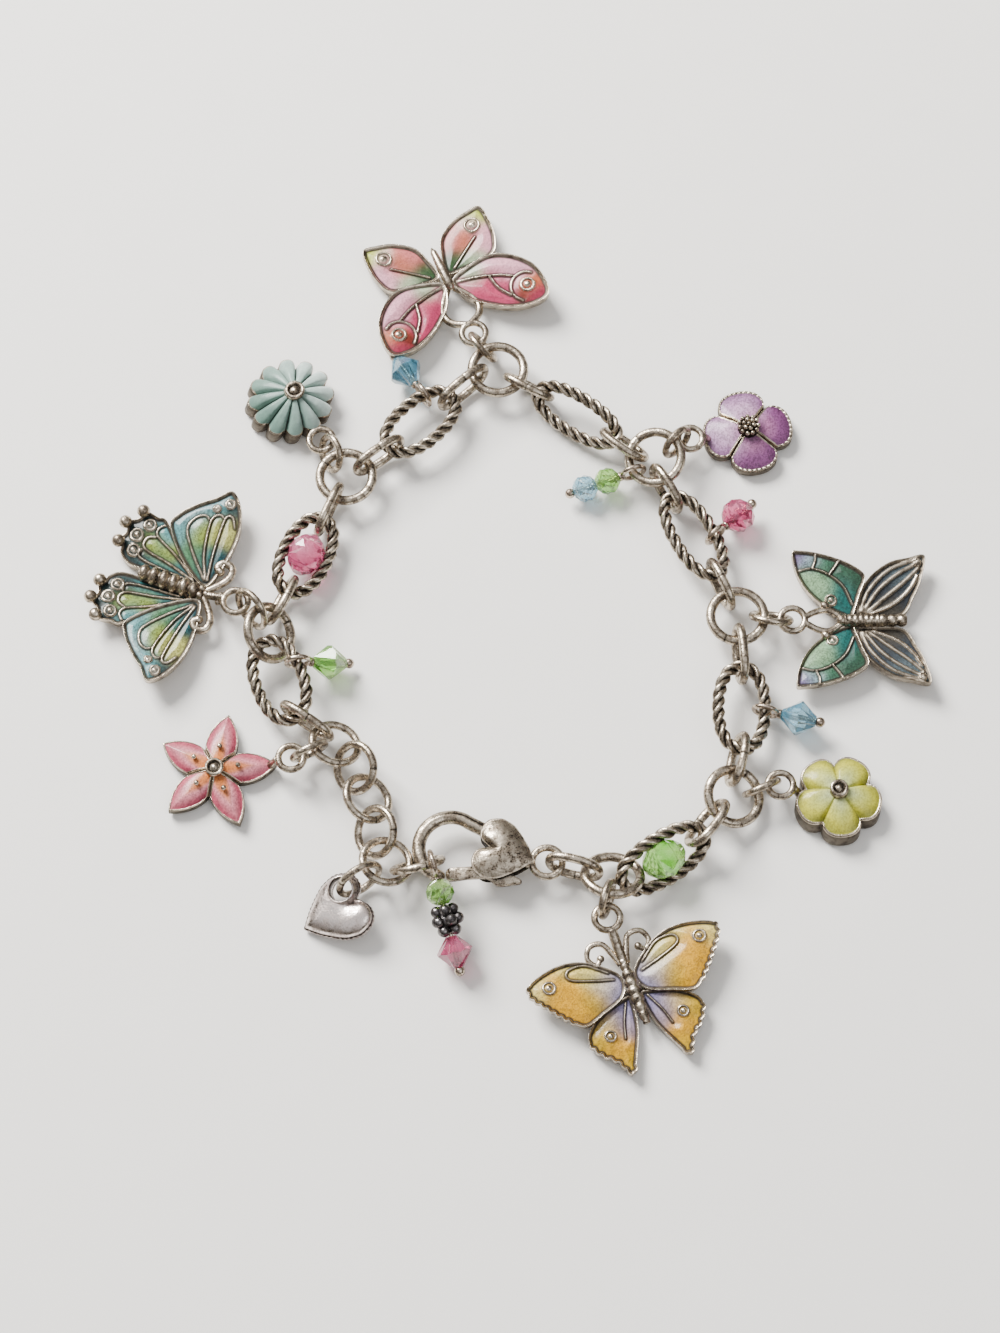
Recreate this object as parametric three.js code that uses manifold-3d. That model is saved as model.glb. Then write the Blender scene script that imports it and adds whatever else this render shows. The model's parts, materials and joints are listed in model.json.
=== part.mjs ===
// A fastened charm bracelet in oxidised silver, laid out flat in a closed loop on a surface.
// Units are millimetres and +Z is up. The origin is under the middle of the bracelet, on the surface.
// Round rings, twisted rope ovals and narrow bar links interlock in one loop, closed by a heart-shaped lobster
// clasp. Enamelled butterflies and flowers, a heart tag and small crystal drops hang from it and lie outwards.
import * as THREE from "three";
import { mergeVertices } from "three/addons/utils/BufferGeometryUtils.js";
import Module from "manifold-3d";

const wasm = await Module();
wasm.setup();

// Links. length and width are outer sizes, and wire is the wire's thickness.
const RING = { length: 7.9, width: 7.9, wire: 1.2, sides: 5, steps: 12, round: 2 };
const ROPE = { length: 12.8, width: 7.4, wire: 1.6, sides: 6, steps: 24, round: 2.15, strands: 6, groove: 0.16 };
const BAR = { length: 7.3, width: 5.2, wire: 1.1, sides: 5, steps: 10, round: 2.4 };
const EXTENDER = { length: 6.8, width: 6.8, wire: 1.0, sides: 5, steps: 11, round: 2 };
const HOOK_RING = { length: 7.0, width: 7.0, wire: 1.0, sides: 5, steps: 12, round: 2 };
const JUMP = { length: 5.1, width: 5.1, wire: 0.8, sides: 5, steps: 10, round: 2 };
const LOOP = { length: 3.9, width: 3.9, wire: 0.75, sides: 5, steps: 10, round: 2 };
const SLACK = 0.5; // clear space between two wires where one link pulls on the next
const CHAIN_HEIGHT = 2.6; // height of the chain's centre line over the surface

// Clasp, seen from above with the hook to the left of the heart and its mouth below.
const CLASP = {
  eye: { length: 4.6, width: 4.6, wire: 0.9, sides: 6, steps: 10, round: 2 },
  heartLength: 7.4,
  heartWidth: 7.8,
  heartThick: 3.5,
  heartTurn: 161,
  heartTip: 1.5,
  hookRadius: 3.9,
  hookWire: 1.7,
  hookFrom: 50,
  hookTo: 246,
  hookAcross: -11.6,
  hookUp: 2.15,
  bearing: 215,
  slot: 1.4,
};
const LEVER = { thick: 0.8, width: 1.5, pivotAcross: -5.9, pivotUp: -0.9, pin: 0.45 };
const RUNNING_GAP = 0.3; // clearance round the lever and its pin

// Crystals: across and along the pin.
const CRYSTAL = { across: 4.5, along: 4.3, facets: 8 };
const ROUND_CRYSTAL = { across: 4.4, along: 3.8, facets: 8 };
const SMALL_CRYSTAL = { across: 3.5, along: 3.0, facets: 8 };
const CLUSTER_BEAD = { across: 4.2, along: 3.9, facets: 10 };
const STONE_SEAT = 0.3; // how far a link's stone reaches into the rope on each side
const OVAL_CRYSTAL = { across: ROPE.width - 2 * ROPE.wire + 2 * STONE_SEAT, along: 5.2, facets: 12 };
const PIN = { wire: 0.65, loop: 3.6, ball: 1.15, neck: 0.2 };

// Cast charms
const WING = { thick: 1.3, rim: 0.45, sunk: 0.3 };
const PETAL = { edge: 1.0 };

// The line that the chain follows, clockwise from the top seen from above, before it is sized to the links. The
// last number is how far it rises over the chain's usual height, where a link stands up.
const ROUTE = [
  [-2.2, 34.3, 0], [2.4, 33.4, 0], [10.5, 28.2, 0], [19.0, 21.6, 0.3], [25.0, 11.1, 0], [29.6, 1.0, 0],
  [30.4, -12.4, 0], [28.4, -22.6, 0.1], [21.2, -31.8, 0.6], [15.4, -34.0, 0.4], [8.6, -32.0, 0], [-6.9, -31.4, 0],
  [-10.4, -33.1, 0.1], [-13.4, -30.6, 0.1], [-14.8, -26.4, 0.1], [-16.0, -22.2, 0.1], [-18.4, -17.4, 0.1],
  [-26.6, -10.8, 0.5], [-28.3, -2.2, 0.4], [-23.9, 8.2, 0], [-19.2, 19.0, 0], [-9.9, 26.6, 0],
];

// Every link in order. turn is the angle between the two links that a ring joins (180 where it lies in line),
// roll is the link's lean about the chain's own line, and long and wide are shares of the kind's length and width.
// ease is extra play towards the next link, and round is how square the link's ends are (2 is a plain oval).
const CHAIN = [
  { name: "ring_1", kind: RING, turn: 132, roll: 0, ease: 0.1 },
  { name: "bar_link_1", kind: BAR, roll: -62 },
  { name: "rope_link_1", kind: ROPE, roll: 32, long: 1.08, wide: 0.86 },
  { name: "bar_link_2", kind: BAR, roll: -54, ease: 0.3 },
  { name: "ring_2", kind: RING, turn: 110, roll: 14, ease: 0.3 },
  { name: "bar_link_3", kind: BAR, roll: -94 },
  { name: "rope_link_2", kind: ROPE, roll: -8, long: 1.08, wide: 0.94 },
  { name: "bar_link_4", kind: BAR, roll: 88 },
  { name: "ring_3", kind: RING, turn: 158, roll: 0, ease: 0.1 },
  { name: "bar_link_5", kind: BAR, roll: 82, long: 1.1 },
  { name: "rope_link_3", kind: ROPE, roll: -10, long: 1.0, wide: 1.04 },
  { name: "bar_link_6", kind: BAR, roll: 70 },
  { name: "ring_4", kind: RING, turn: 132, roll: -20 },
  { name: "bar_link_7", kind: BAR, roll: 56, long: 1.05, ease: 0.2 },
  { name: "rope_link_4", kind: ROPE, roll: -36, long: 1.06, wide: 1.0, round: 2.5, ease: 0.6, stone: "green" },
  { name: "ring_5", kind: RING, turn: 168, roll: 30 },
  { name: "bar_link_8", kind: BAR, roll: -80, ease: 0.1 },
  { name: "clasp_body", kind: null, ease: 0.1 },
  { name: "hook_ring", kind: HOOK_RING, turn: 130, roll: 66, ease: 0.3 },
  { name: "extender_ring_5", kind: EXTENDER, turn: 125, roll: 18 },
  { name: "extender_ring_4", kind: EXTENDER, turn: 165, roll: -42 },
  { name: "extender_ring_3", kind: EXTENDER, turn: 178, roll: 32 },
  { name: "extender_ring_2", kind: EXTENDER, turn: 178, roll: -42, ease: 0.2 },
  { name: "extender_ring_1", kind: EXTENDER, turn: 165, roll: 24, ease: 0.1 },
  { name: "bar_link_9", kind: BAR, roll: 88, long: 1.1, ease: 0.5 },
  { name: "rope_link_5", kind: ROPE, roll: -18, long: 1.0, wide: 1.06, round: 2.4, ease: 0.45 },
  { name: "ring_6", kind: RING, turn: 170, roll: 42 },
  { name: "bar_link_10", kind: BAR, roll: -68 },
  { name: "rope_link_6", kind: ROPE, roll: 11, ease: 0.1, long: 1.0, wide: 1.0, stone: "pink" },
  { name: "bar_link_11", kind: BAR, roll: 96, long: 1.06 },
  { name: "ring_7", kind: RING, turn: 156, roll: 0 },
  { name: "bar_link_12", kind: BAR, roll: 88, long: 1.08 },
  { name: "rope_link_7", kind: ROPE, roll: -3, ease: 0.1, long: 1.0, wide: 1.04 },
  { name: "bar_link_13", kind: BAR, roll: 86, long: 1.16, ease: 0.1 },
];

// Charms. at is the direction in which the jump ring leaves the middle of its host ring, lie the direction from
// the charm's own loop to the charm, roll the jump ring's lean, size its outer size where it isn't the usual one,
// and height that of the charm's loop. Angles are anticlockwise from +X, in degrees.
const CHARMS = [
  { name: "pink_butterfly", host: "ring_1", at: 120, lie: 114, roll: 64, height: 2.0, make: pinkButterfly },
  { name: "mint_daisy", host: "ring_7", at: 120, lie: 128, roll: -64, height: 2.0, make: mintDaisy },
  { name: "blue_green_butterfly", host: "ring_6", at: 140, lie: 159, roll: -72, size: 5.8, height: 3.0, make: blueGreenButterfly },
  { name: "pink_star_flower", host: "extender_ring_1", at: 202, lie: 187, roll: 80, height: 2.8, make: pinkStarFlower },
  { name: "heart_tag", host: "extender_ring_5", at: 215, lie: 205, roll: -80, size: 6.2, height: 2.5, make: heartTag },
  { name: "yellow_butterfly", host: "ring_5", at: -102, lie: -70, roll: -80, height: 3.0, make: yellowButterfly },
  { name: "green_flower", host: "ring_4", at: 16, lie: -13, roll: -72, height: 2.8, make: greenFlower },
  { name: "teal_butterfly", host: "ring_3", at: -2, lie: 0, roll: -56, size: 5.6, height: 2.0, make: tealButterfly },
  { name: "purple_flower", host: "ring_2", at: 38, lie: 12, roll: 80, size: 4.8, height: 2.5, make: purpleFlower },
];

// Crystal drops on headpins. at is where the wire loop goes round its host's wire, seen from the host's middle.
const DROPS = [
  { name: "drop_blue_top", host: "rope_link_7", at: 86, lie: 124, beads: [CRYSTAL], tint: "blue" },
  { name: "drop_pink", host: "rope_link_2", at: 8, lie: 42, beads: [ROUND_CRYSTAL], tint: "pink" },
  { name: "drop_blue_right", host: "rope_link_3", at: -4, lie: -14, beads: [CRYSTAL], tint: "blue" },
  { name: "drop_green", host: "rope_link_5", at: 40, lie: 8, beads: [CRYSTAL], tint: "green" },
  { name: "drop_pair", host: "ring_2", at: 212, lie: 198, beads: [SMALL_CRYSTAL, SMALL_CRYSTAL], tint: "green" },
  {
    name: "drop_long",
    host: "hook_ring",
    at: -60,
    lie: -75,
    beads: [SMALL_CRYSTAL, CLUSTER_BEAD, ROUND_CRYSTAL],
    tint: "darkSilver",
  },
];

const COLOURS = {
  silver: { color: 0xbcb4a6, roughness: 0.38, metalness: 1 },
  darkSilver: { color: 0x5c5a58, roughness: 0.42, metalness: 1 },
  blue: { color: 0x8fc4dc, roughness: 0.08, metalness: 0 },
  green: { color: 0x8fc862, roughness: 0.08, metalness: 0 },
  pink: { color: 0xd97da8, roughness: 0.08, metalness: 0 },
  pinkEnamel: { color: 0xcf7f8e, roughness: 0.3, metalness: 0.1 },
  mintEnamel: { color: 0x97beaf, roughness: 0.4, metalness: 0.1 },
  tealEnamel: { color: 0x6a9c93, roughness: 0.3, metalness: 0.1 },
  starEnamel: { color: 0xdb9aa4, roughness: 0.35, metalness: 0.1 },
  amberEnamel: { color: 0xdfaa4b, roughness: 0.35, metalness: 0.1 },
  limeEnamel: { color: 0xc3c982, roughness: 0.3, metalness: 0.1 },
  purpleEnamel: { color: 0x9a6c9e, roughness: 0.35, metalness: 0.1 },
};

const bracelet = new THREE.Group();
const UP = new THREE.Vector3(0, 0, 1);
const radians = THREE.MathUtils.degToRad;
const heading = (degrees) => new THREE.Vector3(Math.cos(radians(degrees)), Math.sin(radians(degrees)), 0);

function material(name) {
  return new THREE.MeshStandardMaterial(COLOURS[name]);
}

function addMesh(name, geometry, colour, placement = new THREE.Matrix4()) {
  const mesh = new THREE.Mesh(geometry, material(colour));
  mesh.name = name;
  mesh.applyMatrix4(placement);
  bracelet.add(mesh);
  return mesh;
}

// A closed three.js geometry as a solid that can be joined or cut.
function solid(geometry) {
  const bare = geometry.clone();
  for (const extra of Object.keys(bare.attributes)) if (extra !== "position") bare.deleteAttribute(extra);
  const merged = mergeVertices(bare, 1e-3);
  return new wasm.Manifold(
    new wasm.Mesh({
      numProp: 3,
      vertProperties: merged.attributes.position.array,
      triVerts: new Uint32Array(merged.index.array),
    }),
  );
}

function geometryOf(body) {
  const mesh = body.getMesh();
  return new THREE.BufferGeometry()
    .setAttribute("position", new THREE.BufferAttribute(new Float32Array(mesh.vertProperties), 3))
    .setIndex(new THREE.BufferAttribute(new Uint32Array(mesh.triVerts), 1));
}

// Soldered and cast pieces become one solid.
function fuse(geometries) {
  return geometries.map(solid).reduce((whole, piece) => whole.add(piece));
}

// The middle line of a link's wire: a rounded oval in the link's own plane.
class LinkLine extends THREE.Curve {
  constructor(link) {
    super();
    Object.assign(this, { halfLength: (link.length - link.wire) / 2, halfWidth: (link.width - link.wire) / 2 });
    this.round = link.round;
  }
  reach(angle) {
    const across = Math.abs(Math.cos(angle) / this.halfLength) ** this.round;
    const up = Math.abs(Math.sin(angle) / this.halfWidth) ** this.round;
    return (across + up) ** (-1 / this.round);
  }
  getPoint(share, target = new THREE.Vector3()) {
    const angle = 2 * Math.PI * share;
    return target.set(Math.cos(angle), Math.sin(angle), 0).multiplyScalar(this.reach(angle));
  }
}

// One closed wire link, lying in its XY plane with its length along X. Twisted wire has a two-strand section that
// turns as it goes round.
function linkGeometry(link) {
  const line = new LinkLine(link);
  const geometry = new THREE.TubeGeometry(line, link.steps, link.wire / 2, link.sides, true);
  if (link.strands) {
    const place = geometry.attributes.position;
    const middle = new THREE.Vector3();
    const point = new THREE.Vector3();
    for (let step = 0; step <= link.steps; step += 1) {
      line.getPointAt((step % link.steps) / link.steps, middle);
      for (let side = 0; side <= link.sides; side += 1) {
        const index = step * (link.sides + 1) + side;
        const twist = (4 * Math.PI * side) / link.sides - (2 * Math.PI * link.strands * step) / link.steps;
        point.fromBufferAttribute(place, index).sub(middle);
        point.multiplyScalar(1 - link.groove * (0.5 - 0.5 * Math.cos(twist))).add(middle);
        place.setXYZ(index, point.x, point.y, point.z);
      }
    }
  }
  return geometry;
}

// A placement with its X axis along a direction, leaning by roll about that direction.
function placement(centre, along, rollDegrees) {
  const x = along.clone().normalize();
  const y = new THREE.Vector3().crossVectors(UP, x).normalize();
  const z = new THREE.Vector3().crossVectors(x, y);
  const lean = new THREE.Matrix4().makeRotationX(radians(rollDegrees));
  return new THREE.Matrix4().makeBasis(x, y, z).multiply(lean).setPosition(centre);
}

// How far the middle of a wire lies past the point where it pulls on the next wire.
const pull = (wire, nextWire) => (wire + nextWire) / 4 + SLACK / 2;

// A faceted stone turned about X: a flat table at each end and rows of facets between them.
function stone(crystal, rows) {
  const profile = rows.map(([out, along]) => new THREE.Vector2((out * crystal.across) / 2, (along * crystal.along) / 2));
  return new THREE.LatheGeometry(profile, crystal.facets).rotateZ(-Math.PI / 2);
}
const BICONE = [[0, -1], [0.3, -1], [1, 0], [0.3, 1], [0, 1]];
const FACETED = [[0, -1], [0.42, -1], [0.88, -0.5], [1, 0], [0.88, 0.5], [0.42, 1], [0, 1]];

function ball(diameter, around = 8) {
  return new THREE.SphereGeometry(diameter / 2, around, around / 2);
}

function rod(diameter, from, to, sides = 6) {
  const length = from.distanceTo(to);
  const turn = new THREE.Quaternion().setFromUnitVectors(
    new THREE.Vector3(0, 1, 0),
    new THREE.Vector3().subVectors(to, from).normalize(),
  );
  const middle = new THREE.Vector3().addVectors(from, to).multiplyScalar(0.5);
  return new THREE.CylinderGeometry(diameter / 2, diameter / 2, length, sides)
    .applyQuaternion(turn)
    .translate(middle.x, middle.y, middle.z);
}

// A wire bent along a smooth line through a few points.
function wire(diameter, points, steps, sides = 5) {
  const line = new THREE.CatmullRomCurve3(points.map((point) => new THREE.Vector3(...point)));
  const section = new THREE.Shape();
  section.absarc(0, 0, diameter / 2, 0, 2 * Math.PI);
  const round = new THREE.Shape(section.getPoints(sides).slice(0, sides));
  return new THREE.ExtrudeGeometry(round, { steps, extrudePath: line, bevelEnabled: false });
}

// A closed outline through a few points, as evenly spaced corners.
function outline(points, corners) {
  const line = new THREE.CatmullRomCurve3(
    points.map(([across, up]) => new THREE.Vector3(across, up, 0)),
    true,
    "centripetal",
  );
  return line.getSpacedPoints(corners).slice(0, corners).map((point) => new THREE.Vector2(point.x, point.y));
}

// A cast plate on its outline: a raised rim round a sunk floor, flat underneath.
function rimmedPlate(corners, thick, rim, sunk) {
  const shape = THREE.ShapeUtils.isClockWise(corners) ? [...corners].reverse() : corners;
  const count = shape.length;
  const middle = shape.reduce((sum, corner) => sum.add(corner), new THREE.Vector2()).divideScalar(count);
  const inset = shape.map((corner) => {
    const inward = new THREE.Vector2().subVectors(middle, corner);
    return corner.clone().addScaledVector(inward.normalize(), rim);
  });
  const rings = [
    shape.map((corner) => [corner.x, corner.y, 0]),
    shape.map((corner) => [corner.x, corner.y, thick]),
    inset.map((corner) => [corner.x, corner.y, thick]),
    inset.map((corner) => [corner.x, corner.y, thick - sunk]),
  ];
  const faces = [];
  for (let ring = 0; ring + 1 < rings.length; ring += 1)
    for (let i = 0; i < count; i += 1) {
      const next = (i + 1) % count;
      const [a, b, c, d] = [ring * count + i, ring * count + next, (ring + 1) * count + next, (ring + 1) * count + i];
      faces.push(a, b, c, a, c, d);
    }
  const last = (rings.length - 1) * count;
  for (const [a, b, c] of THREE.ShapeUtils.triangulateShape(inset, [])) faces.push(last + a, last + b, last + c);
  for (const [a, b, c] of THREE.ShapeUtils.triangulateShape(shape, [])) faces.push(c, b, a);
  return new THREE.BufferGeometry()
    .setAttribute("position", new THREE.Float32BufferAttribute(rings.flat(2), 3))
    .setIndex(faces);
}

// Both wings of a pair, mirrored over the body and lifted towards their tips.
function wingPair(points, corners, lift) {
  return [1, -1].map((side) => {
    const half = outline(points.map(([across, up]) => [across, side * up]), corners);
    return rimmedPlate(half, WING.thick, WING.rim, WING.sunk).rotateX(side * radians(lift));
  });
}

// A domed flower head: reach gives the edge as a share of the radius over one petal, and the dome falls to the
// edge and into the creases between the petals.
function rosette({ petals, radius, height, crease, reach, perPetal, rings, turn = 0 }) {
  const around = petals * perPetal;
  const points = [[0, 0, 0], [0, 0, height]];
  const shares = Array.from({ length: rings }, (_, ring) => (ring + 1) / rings);
  for (const share of [1, ...[...shares].reverse()])
    for (let i = 0; i < around; i += 1) {
      const phase = ((i / perPetal) % 1) * 2 - 1;
      const angle = (2 * Math.PI * i) / around + radians(turn);
      const out = share * radius * reach(Math.abs(phase));
      const rise = PETAL.edge + (height - PETAL.edge) * (1 - share * share) - crease * share * phase ** 4;
      const low = points.length < 2 + around;
      points.push([out * Math.cos(angle), out * Math.sin(angle), low ? 0 : rise]);
    }
  const faces = [];
  for (let i = 0; i < around; i += 1) {
    const next = (i + 1) % around;
    faces.push(0, 2 + next, 2 + i);
    for (let ring = 0; ring < rings; ring += 1) {
      const [low, high] = [2 + ring * around, 2 + (ring + 1) * around];
      faces.push(low + i, low + next, high + next, low + i, high + next, high + i);
    }
    faces.push(2 + rings * around + i, 2 + rings * around + next, 1);
  }
  return new THREE.BufferGeometry()
    .setAttribute("position", new THREE.Float32BufferAttribute(points.flat(), 3))
    .setIndex(faces);
}

// Each charm is made with its head towards +X and returns its solid, its colour and the middle of its own loop.
function charm(pieces, colour, loopAcross, loopHeight) {
  const loop = linkGeometry(LOOP).translate(loopAcross, 0, loopHeight);
  return { body: fuse([...pieces, loop]), colour, loop: new THREE.Vector3(loopAcross, 0, loopHeight) };
}

function pinkButterfly(loopHeight) {
  const fore = [[0.5, 0.3], [-0.6, 3.2], [-0.4, 6.9], [2.2, 10.0], [5.9, 11.1], [8.1, 9.6], [7.1, 5.6], [3.2, 1.0]];
  const hind = [[-0.6, 0.2], [-4.6, 1.1], [-7.4, 4.0], [-8.1, 8.1], [-3.6, 8.2], [-0.8, 6.2], [0.2, 2.0]];
  const loopAt = 8.9;
  return charm(
    [
      ...wingPair(hind, 11, 5),
      ...wingPair(fore, 12, 9).map((wing) => wing.translate(0, 0, 0.5)),
      new THREE.SphereGeometry(1, 8, 5).scale(3.6, 0.65, 1.1).translate(-0.6, 0, 1.5),
      ...[1, -1].map((side) =>
        wire(0.8, [[1.5, side * 0.5, 1.1], [4.2, side * 2.3, 1.3], [6.2, side * 2.0, 1.6], [loopAt - 1.6, 0, loopHeight]], 6),
      ),
    ],
    "pinkEnamel",
    loopAt,
    loopHeight,
  );
}

function tealButterfly(loopHeight) {
  const fore = [[0.6, 0.3], [3.4, 1.7], [6.0, 4.4], [7.3, 9.1], [3.6, 8.9], [-0.6, 7.2], [-1.9, 5.4], [-0.8, 2.0]];
  const hind = [[-0.6, 0.4], [-1.3, 3.6], [-4.0, 7.0], [-9.6, 8.6], [-8.7, 4.4], [-6.4, 0.7], [-3.0, 0.3]];
  const loopAt = 7.4;
  return charm(
    [
      ...wingPair(hind, 11, 8),
      ...wingPair(fore, 12, 6).map((wing) => wing.translate(0, 0, 0.4)),
      beadedBody(-6.6, 0.8, 1.0, 4),
      ...[1, -1].map((side) =>
        wire(0.8, [[0.3, side * 0.3, 1.0], [2.6, side * 1.2, 1.2], [4.8, side * 1.5, 1.5], [loopAt - 1.6, 0, loopHeight]], 5),
      ),
    ],
    "tealEnamel",
    loopAt,
    loopHeight,
  );
}

function blueGreenButterfly(loopHeight) {
  const fore = [
    [0.6, 0.8], [2.2, 6.0], [1.6, 10.2], [-0.8, 13.7], [-3.0, 12.0], [-5.6, 9.6], [-6.8, 6.6], [-3.4, 2.6],
  ];
  const hind = [[-0.8, 0.3], [-9.4, 0.5], [-12.2, 2.9], [-12.0, 6.0], [-10.0, 7.9], [-7.2, 7.4], [-3.0, 2.4]];
  const studs = [[-12.6, 3.2], [-12.3, 5.9], [-10.4, 8.1]];
  const loopAt = 5.3;
  return charm(
    [
      ...wingPair(hind, 11, 6),
      ...wingPair(fore, 13, 7).map((wing) => wing.translate(0, 0, 0.4)),
      ...[1, -1].flatMap((side) =>
        studs.map(([across, up]) => ball(1.6, 6).translate(across * 0.97, side * up * 0.97, WING.thick + up * 0.1)),
      ),
      ...[1, -1].map((side) =>
        wire(0.75, [[0.4, side * 0.4, 1.6], [2.2, side * 1.7, 1.7], [2.9, side * 3.6, 1.7], [1.9, side * 4.4, 1.7]], 5),
      ),
      beadedBody(-7.6, 1.2, 1.1, 5),
      rod(1.1, new THREE.Vector3(0.6, 0, 1.6), new THREE.Vector3(loopAt - 1.55, 0, loopHeight)),
    ],
    "tealEnamel",
    loopAt,
    loopHeight,
  );
}

function yellowButterfly(loopHeight) {
  const fore = [
    [1.6, 0.4], [3.8, 2.7], [5.3, 6.4], [5.0, 10.4], [3.6, 12.5], [1.2, 11.6], [-2.2, 8.3], [-2.8, 6.2], [-1.4, 2.4],
  ];
  const hind = [[0.2, 0.4], [-2.1, 4.8], [-3.9, 7.2], [-5.9, 7.2], [-8.3, 5.1], [-10.3, 3.6], [-6.4, 1.6], [-3.0, 0.4]];
  const loopAt = 8.7;
  return charm(
    [
      ...wingPair(hind, 12, 4),
      ...wingPair(fore, 13, 7).map((wing) => wing.translate(0, 0, 0.4)),
      new THREE.SphereGeometry(1, 8, 5).scale(4.2, 0.8, 1.1).translate(-0.6, 0, 1.5),
      ...[1, -1].map((side) =>
        wire(0.7, [[2.6, side * 0.5, 1.3], [5.0, side * 1.0, 1.5], [5.9, side * 2.6, 1.6], [4.6, side * 3.9, 1.7]], 5),
      ),
      rod(1.2, new THREE.Vector3(2.4, 0, 1.5), new THREE.Vector3(loopAt - 1.55, 0, loopHeight)),
    ],
    "amberEnamel",
    loopAt,
    loopHeight,
  );
}

// A row of rounded segments along X.
function beadedBody(from, to, radius, segments) {
  const steps = segments * 2;
  const profile = Array.from({ length: steps + 1 }, (_, step) => {
    const bulge = 0.72 + 0.28 * Math.abs(Math.sin((Math.PI * step) / 2));
    const end = step === 0 || step === steps;
    return new THREE.Vector2(end ? 0 : radius * bulge, from + ((to - from) * step) / steps);
  });
  return new THREE.LatheGeometry(profile, 6).rotateZ(-Math.PI / 2).translate(0, 0, WING.thick + 0.3);
}

// A collared button in the middle of a flower.
function button(diameter, base, top) {
  const radius = diameter / 2;
  const profile = [[0, base], [radius, base], [radius, top - 0.3], [radius * 0.6, top], [0, top]];
  const points = profile.map(([out, height]) => new THREE.Vector2(out, height));
  return new THREE.LatheGeometry(points, 10).rotateX(Math.PI / 2);
}

function flower({ head, buttonSize, colour, loopHeight }) {
  const loopAt = head.radius + LOOP.length / 2 - 0.1;
  const lug = rod(
    1.1,
    new THREE.Vector3(head.radius * 0.7, 0, 0.8),
    new THREE.Vector3(loopAt - LOOP.length / 2 + LOOP.wire / 2, 0, loopHeight),
  );
  const pieces = [rosette(head), lug, button(buttonSize, head.height / 2, head.height + 0.7)];
  return charm(pieces, colour, loopAt, loopHeight);
}

function mintDaisy(loopHeight) {
  const reach = (phase) => 1 - 0.16 * phase ** 4;
  const head = { petals: 12, radius: 5.8, height: 4.2, crease: 0.5, reach, perPetal: 3, rings: 3, turn: 15 };
  return flower({ head, buttonSize: 2.1, colour: "mintEnamel", loopHeight });
}

function pinkStarFlower(loopHeight) {
  const reach = (phase) => 1 - 0.66 * phase ** 0.85;
  const head = { petals: 5, radius: 7.6, height: 2.2, crease: 0.1, reach, perPetal: 8, rings: 2, turn: 36 };
  return flower({ head, buttonSize: 2.4, colour: "starEnamel", loopHeight });
}

function greenFlower(loopHeight) {
  const reach = (phase) => 1 - 0.24 * phase ** 3;
  const head = { petals: 5, radius: 5.4, height: 3.4, crease: 0.4, reach, perPetal: 6, rings: 3, turn: 0 };
  return flower({ head, buttonSize: 2.2, colour: "limeEnamel", loopHeight });
}

function purpleFlower(loopHeight) {
  const reach = (phase) => 1 - 0.36 * phase ** 3;
  const head = { petals: 4, radius: 5.8, height: 2.6, crease: 0.3, reach, perPetal: 7, rings: 3, turn: 45 };
  return flower({ head, buttonSize: 2.4, colour: "purpleEnamel", loopHeight });
}

// A puffed heart with its point towards -X, its lobes towards +X and a rounded edge.
function heartOutline(length, width) {
  const shape = new THREE.Shape();
  const half = width / 2;
  shape.moveTo(0, 0);
  shape.bezierCurveTo(length * 0.2, -half * 0.45, length * 0.45, -half * 1.05, length * 0.74, -half);
  shape.bezierCurveTo(length * 1.05, -half * 0.95, length * 1.1, -half * 0.12, length * 0.78, 0);
  shape.bezierCurveTo(length * 1.1, half * 0.12, length * 1.05, half * 0.95, length * 0.74, half);
  shape.bezierCurveTo(length * 0.45, half * 1.05, length * 0.2, half * 0.45, 0, 0);
  return shape;
}

function puffedHeart(length, width, thick, bevel, bevelSegments) {
  return new THREE.ExtrudeGeometry(heartOutline(length - 2 * bevel, width - 2 * bevel), {
    depth: thick - 2 * bevel,
    curveSegments: 4,
    bevelThickness: bevel,
    bevelSize: bevel,
    bevelSegments,
  }).translate(bevel, 0, bevel);
}

function heartTag(loopHeight) {
  const [length, width, thick, hole] = [8.6, 8.2, 1.4, 1.45];
  const [across, side] = [length * 0.73, width * 0.22];
  const lift = Math.asin((loopHeight - thick / 2) / across);
  const plate = solid(puffedHeart(length, width, thick, 0.45, 1).translate(0, 0, -thick / 2));
  const bore = new THREE.CylinderGeometry(hole, hole, thick * 2, 10).rotateX(Math.PI / 2).translate(across, side, 0);
  const tilted = geometryOf(plate.subtract(solid(bore))).rotateY(-lift).translate(0, 0, thick / 2);
  const loop = new THREE.Vector3(across * Math.cos(lift), side, loopHeight);
  return { body: solid(tilted), colour: "silver", loop, pierced: true };
}

// Places of the chain: points on the route one pull apart, with the route scaled until the last link meets the first.
function spanOf(link, before, after) {
  if (!link.kind) return claspSpan(before, after);
  const { halfLength } = new LinkLine(sized(link));
  const [entry, exit] = [before, after].map(
    (neighbour) => halfLength - pull(link.kind.wire, neighbour.wire) - neighbour.ease / 2,
  );
  const turn = radians(link.turn ?? 180);
  return { entry, exit, length: Math.sqrt(entry ** 2 + exit ** 2 - 2 * entry * exit * Math.cos(turn)) };
}

function sized({ kind, long = 1, wide = 1, round = kind.round }) {
  return { ...kind, length: kind.length * long, width: kind.width * wide, round };
}

// Where the clasp pulls, in its own frame: the tail eye's far side and the inside of the hook.
function claspPulls(before, after) {
  const { eye, hookAcross, hookUp, hookRadius, hookWire, bearing } = CLASP;
  const tail = new THREE.Vector2(new LinkLine(eye).halfLength - pull(eye.wire, before.wire) - before.ease / 2, 0);
  const reach = hookRadius - pull(hookWire, after.wire) - after.ease / 2;
  const hook = new THREE.Vector2(
    hookAcross + reach * Math.cos(radians(bearing)),
    hookUp + reach * Math.sin(radians(bearing)),
  );
  return { tail, hook };
}

function claspSpan(before, after) {
  const { tail, hook } = claspPulls(before, after);
  return { length: tail.distanceTo(hook) };
}

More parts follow.
